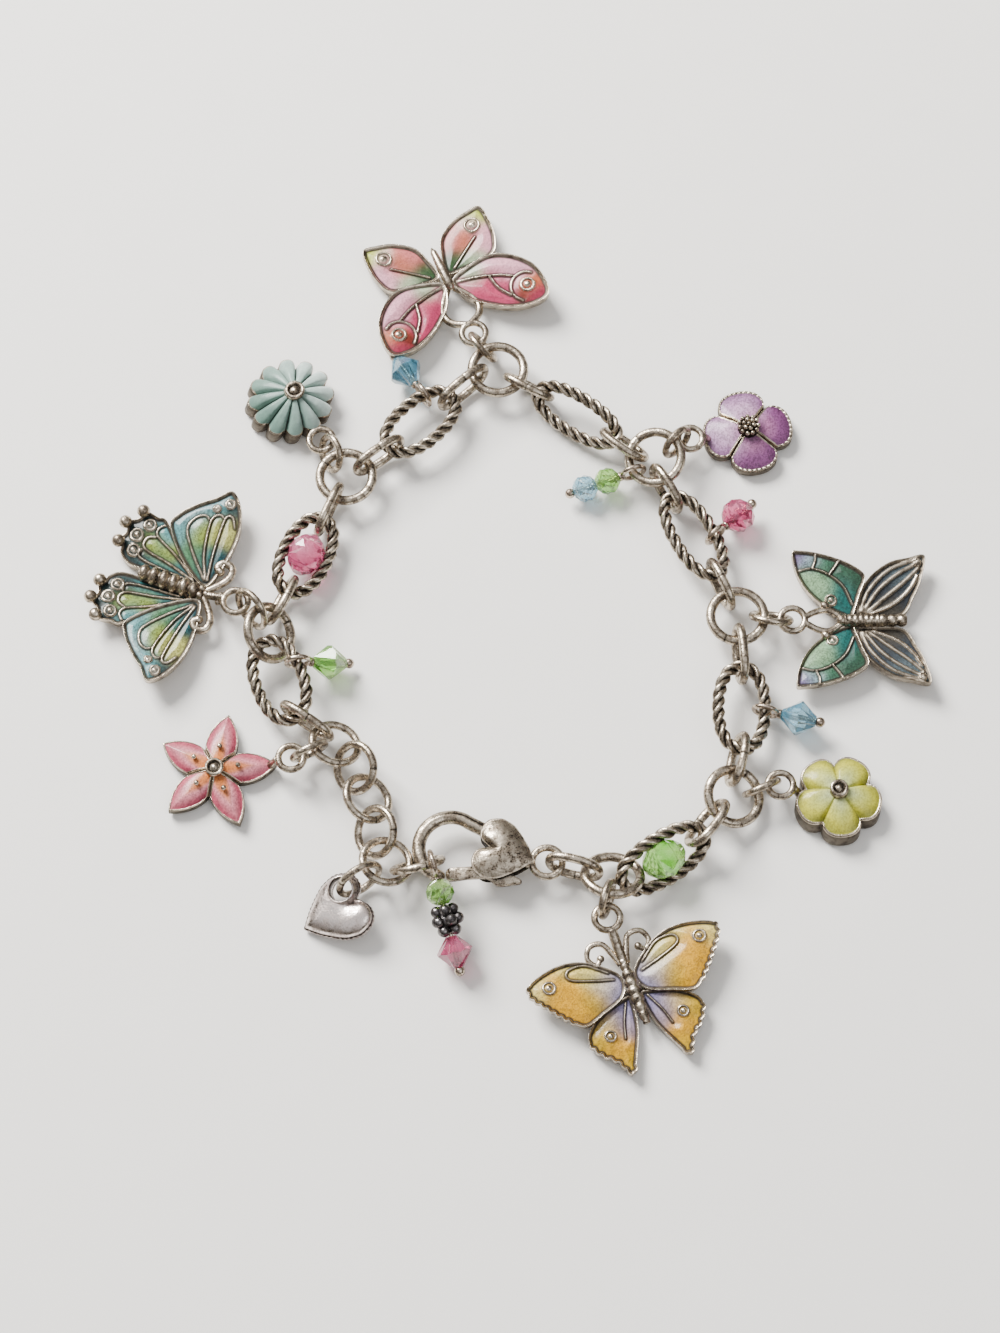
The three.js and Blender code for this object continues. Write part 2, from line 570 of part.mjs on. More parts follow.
// The links on either side of a link: the wire that it pulls on, and the extra play between the two.
function neighbours(i) {
  const before = CHAIN[(i + CHAIN.length - 1) % CHAIN.length];
  const after = CHAIN[(i + 1) % CHAIN.length];
  return [
    { wire: before.kind?.wire ?? CLASP.hookWire, ease: before.ease ?? 0 },
    { wire: after.kind?.wire ?? CLASP.eye.wire, ease: CHAIN[i].ease ?? 0 },
  ];
}
const SPANS = CHAIN.map((link, i) => spanOf(link, ...neighbours(i)));

function routeLine(scale) {
  const points = ROUTE.map(([across, up, rise]) => new THREE.Vector3(across * scale, up * scale, CHAIN_HEIGHT + rise));
  const line = new THREE.CatmullRomCurve3(points, true, "centripetal");
  return line.getPoints(1500);
}

// Steps along the route by each link's span, and says how far round the loop the last step ends (1 is once round).
function walk(scale) {
  const line = routeLine(scale);
  const joints = [line[0].clone()];
  let at = 0;
  for (const { length } of SPANS) {
    const from = joints[joints.length - 1];
    let next = Math.floor(at) + 1;
    while (line[next % 1500].distanceTo(from) < length) next += 1;
    const [near, far] = [line[(next - 1) % 1500], line[next % 1500]];
    const share = (length - near.distanceTo(from)) / (far.distanceTo(from) - near.distanceTo(from));
    at = next - 1 + THREE.MathUtils.clamp(share, 0, 1);
    joints.push(near.clone().lerp(far, at - (next - 1)));
  }
  return { joints, round: at / 1500 };
}

function closedJoints() {
  let [small, large] = [0.5, 2];
  for (let i = 0; i < 40; i += 1) {
    const middle = (small + large) / 2;
    if (walk(middle).round > 1) small = middle;
    else large = middle;
  }
  return walk(large).joints;
}

// The middle of a ring whose two pulls are not opposite each other: it lies on the outer side of the chain.
function linkCentre(from, to, span, rollDegrees) {
  const along = new THREE.Vector3().subVectors(to, from);
  const length = along.length();
  along.normalize();
  const forward = (span.entry ** 2 - span.exit ** 2 + length ** 2) / (2 * length);
  const outward = Math.sqrt(Math.max(span.entry ** 2 - forward ** 2, 0));
  const side = new THREE.Vector3(0, outward, 0).applyMatrix4(placement(new THREE.Vector3(), along, rollDegrees));
  return from.clone().addScaledVector(along, forward).add(side);
}

const joints = closedJoints();
const placed = new Map(); // each link's placement and sizes, by name
CHAIN.forEach((link, i) => {
  const [from, to] = [joints[i], joints[(i + 1) % CHAIN.length]];
  if (!link.kind) return;
  const along = new THREE.Vector3().subVectors(to, from);
  const centre = linkCentre(from, to, SPANS[i], link.roll);
  const where = placement(centre, along, link.roll);
  const size = sized(link);
  placed.set(link.name, { where, size, centre });
  if (link.stone) {
    const gem = stone(OVAL_CRYSTAL, FACETED).translate(0, 0, 0.5);
    const set = fuse([linkGeometry(size), gem]);
    addMesh(link.name, geometryOf(set), "silver", where);
  } else addMesh(link.name, linkGeometry(size), "silver", where);
});

// Clasp
function claspPlacement() {
  const i = CHAIN.findIndex((link) => !link.kind);
  const [from, to] = [joints[i], joints[i + 1]];
  const { tail, hook } = claspPulls(...neighbours(i));
  const own = Math.atan2(hook.y - tail.y, hook.x - tail.x);
  const world = Math.atan2(to.y - from.y, to.x - from.x);
  const turn = new THREE.Matrix4().makeRotationZ(world - own);
  const offset = new THREE.Vector3(tail.x, tail.y, 0).applyMatrix4(turn);
  return turn.setPosition(from.clone().sub(offset));
}

function claspBody() {
  const { eye, heartLength, heartWidth, heartThick, heartTurn, heartTip, slot } = CLASP;
  const { hookRadius, hookWire, hookFrom, hookTo, hookAcross, hookUp } = CLASP;
  const heart = puffedHeart(heartLength, heartWidth, heartThick, 0.7, 2)
    .rotateZ(radians(heartTurn))
    .translate(-heartTip, 0, -heartThick / 2);
  const arc = Array.from({ length: 9 }, (_, step) => {
    const angle = radians(hookFrom + ((hookTo - hookFrom) * step) / 8);
    return [hookAcross + hookRadius * Math.cos(angle), hookUp + hookRadius * Math.sin(angle), 0];
  });
  const root = [hookAcross + hookRadius + 0.9, hookUp + 1.6, 0];
  const hook = wire(hookWire, [root, ...arc], 18, 6);
  const neck = rod(1.2, new THREE.Vector3(-heartTip - 0.9, 0, 0), new THREE.Vector3(-eye.length / 2 + 0.6, 0, 0));
  const { pivotAcross, pivotUp, pin } = LEVER;
  const mouth = new THREE.BoxGeometry(8.6, 6.0, slot).translate(pivotAcross - 1.7, pivotUp - 1.3, 0);
  const axle = new THREE.CylinderGeometry(pin, pin, slot + 0.4, 10).rotateX(Math.PI / 2);
  return fuse([heart, neck, linkGeometry(eye)])
    .subtract(solid(mouth))
    .add(solid(axle.translate(pivotAcross, pivotUp, 0)))
    .add(solid(hook));
}

function claspLever() {
  const { thick, width, pivotAcross, pivotUp, pin } = LEVER;
  const { hookAcross, hookUp, hookRadius, hookTo, hookWire } = CLASP;
  const tip = new THREE.Vector2(
    hookAcross + hookRadius * Math.cos(radians(hookTo)),
    hookUp + hookRadius * Math.sin(radians(hookTo)),
  );
  const pivot = new THREE.Vector2(pivotAcross, pivotUp);
  const along = new THREE.Vector2().subVectors(tip, pivot);
  const reach = along.length() - hookWire / 2 - RUNNING_GAP;
  const arm = new THREE.Shape();
  arm.moveTo(1.2, -width / 2);
  arm.absarc(0, 0, width * 0.72, radians(-35), radians(140));
  arm.lineTo(-reach, width / 2);
  arm.lineTo(-reach, -width / 2);
  arm.lineTo(-1.4, -width / 2 - 0.2);
  arm.lineTo(-0.2, -width * 1.35);
  arm.lineTo(2.6, -width * 1.35);
  arm.lineTo(2.6, -width * 0.9);
  const blade = new THREE.ExtrudeGeometry(arm, { depth: thick, bevelEnabled: false, curveSegments: 6 })
    .translate(0, 0, -thick / 2)
    .rotateZ(Math.atan2(-along.y, -along.x));
  const hole = new THREE.CylinderGeometry(pin + RUNNING_GAP, pin + RUNNING_GAP, thick * 2, 10).rotateX(Math.PI / 2);
  return solid(blade).subtract(solid(hole));
}

const claspAt = claspPlacement();
addMesh("clasp_body", geometryOf(claspBody()), "silver", claspAt);
const pivotAt = claspAt.clone().multiply(new THREE.Matrix4().makeTranslation(LEVER.pivotAcross, LEVER.pivotUp, 0));
addMesh("clasp_lever", geometryOf(claspLever()), "silver", pivotAt);

// The point of a host's wire that lies in a direction from the host's middle.
function wirePoint(host, atDegrees) {
  const { where, size } = placed.get(host);
  const inverse = where.clone().invert();
  const direction = heading(atDegrees).transformDirection(inverse);
  const angle = Math.atan2(direction.y, direction.x);
  const line = new LinkLine(size);
  return {
    point: new THREE.Vector3(Math.cos(angle), Math.sin(angle), 0).multiplyScalar(line.reach(angle)).applyMatrix4(where),
    wire: size.wire,
  };
}

// Where a charm and its jump ring lie, from the middle of the charm's own loop.
function hang({ host, at, lie, roll, size = JUMP.length }, loop, pierced) {
  const ring = { ...JUMP, length: size, width: size };
  const { halfLength } = new LinkLine(ring);
  const held = wirePoint(host, at);
  const outward = heading(at);
  const start = held.point.clone().addScaledVector(outward, -pull(held.wire, ring.wire));
  const [before, after] = [held.wire, LOOP.wire].map((next) => halfLength - pull(ring.wire, next));
  const fall = THREE.MathUtils.clamp((loop.z - start.z) / (before + after), -0.7, 0.7);
  const along = outward.clone().multiplyScalar(Math.sqrt(1 - fall ** 2)).setZ(fall);
  const centre = start.clone().addScaledVector(along, before);
  const far = centre.clone().addScaledVector(along, after);
  const reach = pierced ? 0.4 : new LinkLine(LOOP).halfLength - pull(LOOP.wire, ring.wire);
  const turned = new THREE.Matrix4().makeRotationZ(radians(lie + 180));
  const offset = loop.clone().applyMatrix4(turned);
  const charmAt = turned.setPosition(far.addScaledVector(heading(lie), reach).setZ(loop.z).sub(offset));
  return { ring, ringAt: placement(centre, along, roll), charmAt };
}

for (const spec of CHARMS) {
  const { body, colour, loop, pierced } = spec.make(spec.height);
  const { ring, ringAt, charmAt } = hang(spec, loop, pierced);
  addMesh("jump_ring_" + spec.name, linkGeometry(ring), "silver", ringAt);
  addMesh(spec.name, geometryOf(body), colour, charmAt);
}

// A headpin: a wire loop round the host's wire, one or more stones, and a ball at the end.
function headpin(beads) {
  const reach = (PIN.loop - PIN.wire) / 2;
  const ring = new THREE.TorusGeometry(reach, PIN.wire / 2, 5, 12).rotateX(Math.PI / 2);
  const pieces = [ring];
  let along = PIN.loop / 2 + PIN.neck;
  for (const bead of beads) {
    const rows = bead === CRYSTAL ? BICONE : FACETED;
    pieces.push(stone(bead, rows).translate(along + bead.along / 2, 0, 0));
    along += bead.along;
  }
  const end = along + PIN.ball / 2 - 0.15;
  pieces.push(rod(PIN.wire, new THREE.Vector3(reach, 0, 0), new THREE.Vector3(end, 0, 0)));
  pieces.push(ball(PIN.ball).translate(end, 0, 0));
  return fuse(pieces);
}

// A drop starts at its host's wire and comes to rest on its widest stone.
function dropAt({ host, at, lie, beads }) {
  const { point } = wirePoint(host, at);
  const sizes = beads.map((bead) => bead.across / 2);
  const widest = sizes.lastIndexOf(Math.max(...sizes));
  const before = beads.slice(0, widest).reduce((sum, bead) => sum + bead.along, 0);
  const far = PIN.loop / 2 + PIN.neck + before + beads[widest].along / 2;
  const fall = (sizes[widest] + 0.05 - point.z) / far;
  return placement(point, heading(lie).multiplyScalar(Math.sqrt(1 - fall ** 2)).setZ(fall), 0);
}

for (const spec of DROPS) addMesh(spec.name, geometryOf(headpin(spec.beads)), spec.tint, dropAt(spec));

// The origin goes under the middle of the bracelet, on the surface that it lies on.
const box = new THREE.Box3().setFromObject(bracelet, true);
bracelet.position.set(-(box.min.x + box.max.x) / 2, -(box.min.y + box.max.y) / 2, -box.min.z);

export default bracelet;
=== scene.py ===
# %% [markdown]
# A charm bracelet in oxidised silver, enamel and crystal, fastened and laid out in a loop. The frame brings
# in the plain solid of every link, charm and drop where the real one lies. This file gives each of them its
# real surface: twisted wire, cast relief with enamel between silver lines, and cut crystal.

# %% The frame
import json

import bpy
import numpy as np
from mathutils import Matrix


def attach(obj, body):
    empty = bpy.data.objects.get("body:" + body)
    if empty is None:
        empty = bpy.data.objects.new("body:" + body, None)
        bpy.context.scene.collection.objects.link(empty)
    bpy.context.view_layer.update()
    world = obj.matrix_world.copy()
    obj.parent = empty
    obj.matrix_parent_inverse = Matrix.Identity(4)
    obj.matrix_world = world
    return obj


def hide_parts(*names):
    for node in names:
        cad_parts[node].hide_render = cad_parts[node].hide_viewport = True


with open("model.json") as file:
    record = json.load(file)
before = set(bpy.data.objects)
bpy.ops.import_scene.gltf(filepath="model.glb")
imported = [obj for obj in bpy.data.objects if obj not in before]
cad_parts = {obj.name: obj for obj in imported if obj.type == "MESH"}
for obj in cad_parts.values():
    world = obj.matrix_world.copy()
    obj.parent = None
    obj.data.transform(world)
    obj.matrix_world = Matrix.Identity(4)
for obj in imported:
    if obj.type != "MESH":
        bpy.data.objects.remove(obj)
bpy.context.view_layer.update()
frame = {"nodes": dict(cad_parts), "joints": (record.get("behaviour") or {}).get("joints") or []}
MM = 0.001
BODY = "bracelet"
UP = np.array([0.0, 0.0, 1.0])
print("solids in the frame:", len(frame["nodes"]))

# %% [markdown]
# The photograph looks down at the bracelet from in front, at about 68 degrees over the table. The camera's
# distance and lens are the pair that gives the same size and the same slight foreshortening.

# %% Camera
ELEVATION = np.radians(68)
DISTANCE = 393.4
AIM = np.array([-0.8, -5.8, 0.0])


def add_camera():
    lens = bpy.data.cameras.new("photo_camera")
    lens.sensor_width = 36
    lens.lens = 85
    lens.clip_start = 0.01
    camera = bpy.data.objects.new("photo_camera", lens)
    back = np.array([0, -np.cos(ELEVATION), np.sin(ELEVATION)])
    camera.location = (AIM + DISTANCE * back) * MM
    camera.rotation_euler = (np.pi / 2 - ELEVATION, 0, 0)
    bpy.context.scene.collection.objects.link(camera)
    bpy.context.scene.camera = camera


add_camera()

# %% [markdown]
# Every surface here is a skin: a grid of points whose rows each run once round the piece. A wire is a skin
# whose rows are circles along a line, a ball is one whose rows grow and shrink, and a cast plate is one
# that runs from the middle of its flat back, over its edge, to the middle of its front. Values kept at the
# points tell the finishes what is bare metal, what lies in a hollow, and which enamel is where.


# %% Skins
class Skin:
    """A closed skin over a grid of points in millimetres, with values kept at each point."""

    def __init__(self, points, closed=False, recess=0.0, metal=1.0, paint=(0.5, 0.5, 0.5)):
        self.points = points
        self.closed = closed
        shape = points.shape[:2]
        self.recess = np.broadcast_to(recess, shape)
        self.metal = np.broadcast_to(metal, shape)
        self.paint = np.broadcast_to(paint, (*shape, 3))

    def moved(self, place):
        """The same skin in another frame: place holds the origin and, as columns, the three directions."""
        origin, axes = place
        return Skin(self.points @ axes.T + origin, self.closed, self.recess, self.metal, self.paint)

    def faces(self):
        """Four-cornered faces between neighbouring rows and a flat cap on each open end, facing outwards."""
        rows, columns = self.points.shape[:2]
        row = np.arange(rows if self.closed else rows - 1)[:, None]
        column = np.arange(columns)[None, :]
        below, right = (row + 1) % rows, (column + 1) % columns
        corners = [
            row * columns + column, row * columns + right, below * columns + right, below * columns + column,
        ]
        quads = np.stack(corners, -1).reshape(-1, 4)
        flat = self.points.reshape(-1, 3)
        a, b, c, d = (flat[quads[:, i]] - flat.mean(0) for i in range(4))
        volume = np.einsum("ij,ij->", a, np.cross(b, c)) + np.einsum("ij,ij->", a, np.cross(c, d))
        made = quads.tolist()
        if not self.closed:
            made.append(list(range(columns))[::-1])
            made.append(list(range((rows - 1) * columns, rows * columns)))
        return made if volume > 0 else [face[::-1] for face in made]


def piece(name, skins, finish, stands_for=(), smooth=True, body=BODY, place=None):
    """One object made of closed skins, riding on a body, in place of the CAD nodes that it stands for. Skins
    in a charm's or drop's own millimetres are moved to its place first."""
    if place is not None:
        skins = [skin.moved(place) for skin in skins]
    mesh = bpy.data.meshes.new(name)
    faces = []
    start = 0
    for skin in skins:
        faces += [[corner + start for corner in face] for face in skin.faces()]
        start += skin.points.shape[0] * skin.points.shape[1]
    points = np.concatenate([skin.points.reshape(-1, 3) for skin in skins]) * MM
    mesh.from_pydata(points.tolist(), [], faces)
    for key in ("recess", "metal"):
        values = np.concatenate([getattr(skin, key).ravel() for skin in skins])
        mesh.attributes.new(key, "FLOAT", "POINT").data.foreach_set("value", values.astype(np.float32))
    paint = np.concatenate([skin.paint.reshape(-1, 3) for skin in skins])
    paint = np.concatenate([paint, np.ones((len(paint), 1))], axis=1)
    tints = mesh.attributes.new("paint", "FLOAT_COLOR", "POINT").data
    tints.foreach_set("color", paint.astype(np.float32).ravel())
    mesh.polygons.foreach_set("use_smooth", [smooth] * len(mesh.polygons))
    mesh.materials.append(finish)
    mesh.update()
    made = bpy.data.objects.new(name, mesh)
    bpy.context.scene.collection.objects.link(made)
    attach(made, body)
    if stands_for:
        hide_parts(*stands_for)
    return made


# %% [markdown]
# Four shapes carry most of the work: a line drawn smoothly through a few points, a wire along a line, a
# ball, and a profile turned about an axis.


# %% Lines, wires, balls and turned pieces
def unit(vectors):
    return vectors / np.linalg.norm(vectors, axis=-1, keepdims=True)


def smooth_line(points, count, closed=False):
    """A line through a few points, evenly spaced. Between two points it is the cubic whose slope at each is
    half the step from the point before it to the point after it."""
    points = np.asarray(points, float)
    if closed:
        held = np.concatenate([points[-1:], points, points[:2]])
    else:
        held = np.concatenate([2 * points[:1] - points[1:2], points, 2 * points[-1:] - points[-2:-1]])
    t = np.linspace(0, 1, 24, endpoint=False)[None, :, None]
    before, near, far, after = (held[i : len(held) - 3 + i, None, :] for i in range(4))
    curve = near + 0.5 * t * (far - before)
    curve = curve + t**2 * (before - 2.5 * near + 2 * far - 0.5 * after)
    curve = curve + 0.5 * t**3 * (after - before + 3 * (near - far))
    curve = curve.reshape(-1, points.shape[1])
    curve = np.concatenate([curve, curve[:1] if closed else points[-1:]])
    return even(curve, count, closed)


def even(curve, count, closed=False):
    """The same line with its points evenly spaced."""
    length = np.concatenate([[0], np.cumsum(np.linalg.norm(np.diff(curve, axis=0), axis=1))])
    at = np.linspace(0, length[-1], count, endpoint=not closed)
    return np.stack([np.interp(at, length, curve[:, i]) for i in range(curve.shape[1])], -1)


def tube(line, radius, up=UP, sides=14, closed=False, **marks):
    """A wire along a line. Each row is a circle square to the line, or any outline given as a radius for each
    side."""
    ahead = unit(np.roll(line, -1, 0) - np.roll(line, 1, 0)) if closed else unit(np.gradient(line, axis=0))
    side = unit(np.cross(up, ahead))
    over = np.cross(ahead, side)
    turn = np.linspace(0, 2 * np.pi, sides, endpoint=False)[None, :, None]
    radius = np.asarray(radius, float)
    radius = radius[..., None, None] if radius.ndim < 2 else radius[..., None]
    out = radius * (np.cos(turn) * side[:, None] + np.sin(turn) * over[:, None])
    return Skin(line[:, None] + out, closed, **marks)


def ball(centre, radius, rows=13, columns=18, **marks):
    """A sphere: at each angle from the top, a circle of the angle's sine at the height of its cosine."""
    down = np.linspace(0.04, np.pi - 0.04, rows)[:, None]
    around = np.linspace(0, 2 * np.pi, columns, endpoint=False)[None, :]
    parts = [np.sin(down) * np.cos(around), np.sin(down) * np.sin(around), np.cos(down) + 0 * around]
    return Skin(np.asarray(centre, float) + radius * np.stack(parts, -1), **marks)


def turned(profile, centre=(0, 0, 0), axis=(1, 0, 0), columns=24, **marks):
    """A profile of (along, out) pairs turned about an axis through the centre."""
    profile = np.asarray(profile, float)
    axis = unit(np.asarray(axis, float))
    side = unit(np.cross(axis, [0.31, 0.2, 0.93]))
    other = np.cross(axis, side)
    around = np.linspace(0, 2 * np.pi, columns, endpoint=False)[None, :, None]
    along = profile[:, 0, None, None] * axis
    out = profile[:, 1, None, None] * (np.cos(around) * side + np.sin(around) * other)
    return Skin(np.asarray(centre, float) + along + out, **marks)


# %% [markdown]
# Shader maths reads best as arithmetic. A small class wraps one output of a node, and sums and products of
# it add the Math nodes. Everything that changes over a surface feeds colour, roughness, metal or bump only.


# %% Finishes as arithmetic
def srgb(red, green, blue):
    """A colour as seen on a screen, 0 to 255, as the linear values that Blender works in."""
    shares = np.array([red, green, blue]) / 255
    return np.where(shares <= 0.04045, shares / 12.92, ((shares + 0.055) / 1.055) ** 2.4)


class Signal:
    """One output of a node. Arithmetic on it adds Math nodes."""

    def __init__(self, finish, socket):
        self.finish = finish
        self.socket = socket

    def maths(self, operation, *values):
        return self.finish.node("ShaderNodeMath", {"operation": operation}, dict(enumerate(values)))

    def __add__(self, other):
        return self.maths("ADD", self, other)

    def __mul__(self, other):
        return self.maths("MULTIPLY", self, other)

    def __sub__(self, other):
        return self.maths("SUBTRACT", self, other)

    def __rsub__(self, other):
        return self.maths("SUBTRACT", other, self)

    __radd__ = __add__
    __rmul__ = __mul__

    def held(self):
        return self.finish.node("ShaderNodeClamp", {}, {0: self})


class Finish:
    """A material in the making: its main shader and the nodes that feed it."""

    def __init__(self, name):
        self.material = bpy.data.materials.new(name)
        self.material.use_nodes = True
        self.tree = self.material.node_tree
        self.shader = self.tree.nodes["Principled BSDF"]

    def node(self, kind, settings, values, output=0):
        made = self.tree.nodes.new(kind)
        for key, value in settings.items():
            setattr(made, key, value)
        for key, value in values.items():
            self.feed(made.inputs[key], value)
        return Signal(self, made.outputs[output])

    def feed(self, socket, value):
        if isinstance(value, Signal):
            self.tree.links.new(value.socket, socket)
        elif np.ndim(value) and socket.type == "RGBA":
            socket.default_value = (*np.asarray(value, float), 1.0)
        else:
            socket.default_value = value

    def surface(self, **values):
        for key, value in values.items():
            self.feed(self.shader.inputs[key.replace("_", " ")], value)
        return self.material

    def kept(self, name):
        """A number kept at the points of the mesh."""
        return self.node("ShaderNodeAttribute", {"attribute_name": name}, {}, "Fac")

    def kept_colour(self, name):
        return self.node("ShaderNodeAttribute", {"attribute_name": name}, {}, "Color")

    def noise(self, size, detail=2.0, seed=0.0):
        """Soft noise whose patches are about size millimetres wide."""
        place = self.node("ShaderNodeTexCoord", {}, {}, "Object")
        moved = self.node("ShaderNodeVectorMath", {"operation": "ADD"}, {0: place, 1: (seed, seed, seed)})
        values = {"Vector": moved, "Scale": 1 / (size * MM), "Detail": detail}
        return self.node("ShaderNodeTexNoise", {}, values)

    def grains(self, size):
        """A different even value in each small grain."""
        place = self.node("ShaderNodeTexCoord", {}, {}, "Object")
        return self.node("ShaderNodeTexVoronoi", {}, {"Vector": place, "Scale": 1 / (size * MM)}, "Color")

    def between(self, value, low, high):
        """0 at low and 1 at high, smooth between them."""
        settings = {"interpolation_type": "SMOOTHSTEP"}
        return self.node("ShaderNodeMapRange", settings, {0: value, 1: low, 2: high})

    def mix(self, share, first, second, blend="MIX"):
        settings = {"data_type": "RGBA", "blend_type": blend}
        return self.node("ShaderNodeMix", settings, {0: share, 6: first, 7: second}, 2)

    def bump(self, height, depth, strength=1.0):
        values = {"Height": height, "Strength": strength, "Distance": depth * MM}
        return self.node("ShaderNodeBump", {}, values)


# %% [markdown]
# The silver is oxidised: the maker blackens it, then polishes the high places bright again, so every hollow
# stays brown-black and the rest keeps a faint mottle. The mask adds the hollows kept on the mesh to a
# broken noise. In the heart tag's bore the kept darkness is also painted shade, deep in the hole.


# %% Silver
SILVER_BRIGHT = srgb(200, 187, 168)
SILVER_WORN = srgb(98, 85, 72)
SILVER_DARK = srgb(26, 21, 16)


def silver(name, bright=SILVER_BRIGHT, worn=SILVER_WORN, dark=SILVER_DARK, stain=1.0, rough=0.24):
    finish = Finish(name)
    hollow = finish.kept("recess")
    mottle = finish.between(finish.noise(0.9, 5, seed=0.3), 0.4, 0.6)
    speck = finish.between(finish.noise(0.2, 3, seed=0.7), 0.46, 0.64)
    base = finish.mix(mottle * (0.75 * stain), bright, worn)
    tarnish = (hollow + speck * (0.75 * stain) * (0.35 + mottle * 0.65)).held()
    colour = finish.mix(tarnish, base, dark)
    relief = finish.noise(0.3, 5, seed=0.1)
    return finish.surface(
        Base_Color=colour,
        Metallic=1.0,
        Roughness=(rough + mottle * 0.12 + tarnish * 0.3).held(),
        Normal=finish.bump(relief, 0.06 * stain, 0.7),
    )


OXIDISED = silver("oxidised_silver")
POLISHED = silver("polished_silver", srgb(206, 191, 174), srgb(122, 104, 88), stain=0.9, rough=0.17)
TAG_SILVER = silver(
    "tag_silver", srgb(232, 220, 214), srgb(160, 142, 132), srgb(44, 34, 30), stain=0.6, rough=0.2
)
GUNMETAL = silver("gunmetal", srgb(124, 120, 120), srgb(70, 66, 67), srgb(20, 18, 20), rough=0.2)

# %% [markdown]
# Enamel is coloured glass melted into the sunk cells of a casting. One finish serves a whole charm: a value
# kept at the points says where silver shows, and a colour kept there gives the enamel, which grains of a
# slightly lighter or darker tone break up as real powder enamel does. A clear coat gives the wet gloss.


# %% Enamel
def enamel(name, glitter=0.25, gloss=0.22, bright=SILVER_BRIGHT):
    finish = Finish(name)
    metal = finish.kept("metal")
    hollow = finish.kept("recess")
    tone = finish.between(finish.noise(1.1, 4, seed=0.2), 0.35, 0.65)
    paint = finish.kept_colour("paint")
    paint = finish.mix(tone * 0.3, paint, finish.mix(1.0, paint, srgb(176, 176, 186), "MULTIPLY"))
    shade = finish.mix(1.0, paint, srgb(120, 112, 108), "MULTIPLY")
    grain = finish.between(finish.grains(0.16), 0.2, 0.9)
    paint = finish.mix(grain * glitter, paint, shade)
    mottle = finish.between(finish.noise(0.7, 5, seed=0.4), 0.45, 0.68)
    bare = finish.mix(mottle * 0.7, bright, SILVER_WORN)
    colour = finish.mix(metal, paint, bare)
    colour = finish.mix(hollow, colour, SILVER_DARK)
    return finish.surface(
        Base_Color=colour,
        Metallic=metal,
        Roughness=(0.34 + hollow * 0.4 - metal * 0.08).held(),
        Specular_IOR_Level=0.2,
        Coat_Weight=(gloss - metal * gloss - hollow * 0.4).held(),
        Coat_Roughness=0.12,
        Normal=finish.bump(grain + finish.noise(0.3, 3), 0.02, 0.5),
    )


# %% [markdown]
# Cut crystal is clear glass with a tint. The facets are real flat faces, so the light breaks up in them by
# itself.


# %% Crystal
def crystal(name, deep, pale):
    finish = Finish(name)
    drift = finish.between(finish.noise(3.5, 1, seed=0.5), 0.3, 0.7)
    return finish.surface(
        Base_Color=finish.mix(drift, deep, pale),
        Roughness=0.03,
        IOR=1.58,
        Transmission_Weight=0.75,
        Coat_Weight=0.4,
        Coat_Roughness=0.02,
    )


CRYSTALS = {
    "blue_crystal": crystal("cut_blue", srgb(96, 166, 196), srgb(172, 212, 230)),
    "green_crystal": crystal("cut_green", srgb(110, 190, 60), srgb(196, 230, 150)),
    "pink_crystal": crystal("cut_pink", srgb(196, 66, 116), srgb(232, 140, 172)),
}

# %% [markdown]
# A link's own place is read from its CAD node. The middle of the node's corners is the middle of the link,
# and their three main directions are its length, its width and the direction square to it. The wire is then
# drawn again, round and smooth, along the same rounded oval.


# %% Where a link lies
def node_points(name):
    """The corners of a CAD node in millimetres, each once."""
    node = frame["nodes"][name]
    flat = np.empty(len(node.data.vertices) * 3)
    node.data.vertices.foreach_get("co", flat)
    matrix = np.array(node.matrix_world)
    points = (flat.reshape(-1, 3) @ matrix[:3, :3].T + matrix[:3, 3]) / MM
    return np.unique(points.round(4), axis=0)


def main_axes(points):
    """The middle of a cloud of points and its directions, longest first, as the columns of a frame."""
    centre = points.mean(0)
    directions = np.linalg.svd(points - centre, full_matrices=False)[2]
    directions[2] = np.cross(directions[0], directions[1])
    return centre, directions.T


def without_stone(points):
    """The corners of a link's wire alone, where a stone sits in its middle."""
    centre = (points.max(0) + points.min(0)) / 2
    out = np.linalg.norm(points - centre, axis=1)
    return points[out > 0.58 * out.max()]


LINKS = {
    "ring": {"wire": 1.2, "round": 2.0},
    "rope_link": {"wire": 1.6, "round": 2.2},
    "bar_link": {"wire": 1.1, "round": 2.4},
    "extender_ring": {"wire": 1.0, "round": 2.0},
    "hook_ring": {"wire": 1.0, "round": 2.0},
    "jump_ring": {"wire": 0.9, "round": 2.0},
}
STONES = {"rope_link_4": "green_crystal", "rope_link_6": "pink_crystal"}


def oval_line(half_length, half_width, roundness, count):
    """A rounded oval: at each angle the distance out is the power mean that makes
    |x / half length| ** roundness + |y / half width| ** roundness equal to 1."""
    angle = np.linspace(0, 2 * np.pi, 361)
    reach = np.abs(np.cos(angle) / half_length) ** roundness + np.abs(np.sin(angle) / half_width) ** roundness
    reach = reach ** (-1 / roundness)
    line = np.stack([reach * np.cos(angle), reach * np.sin(angle), 0 * angle], -1)
    return even(line, count, closed=True)


# %% [markdown]
# The oval links are rope: three round wires twisted together, then bent round. Seen square to the line, the
# section is the outline of three circles that touch, and it turns six times on the way round, which gives
# the eighteen bold ridges that can be counted on one oval. The grooves between them are black.

# %% Rope and plain wire
STRANDS = 3
ROPE_TURNS = 6
ROPE_STEPS = 252
PLAIN_STEPS = 84
SEAM = 20


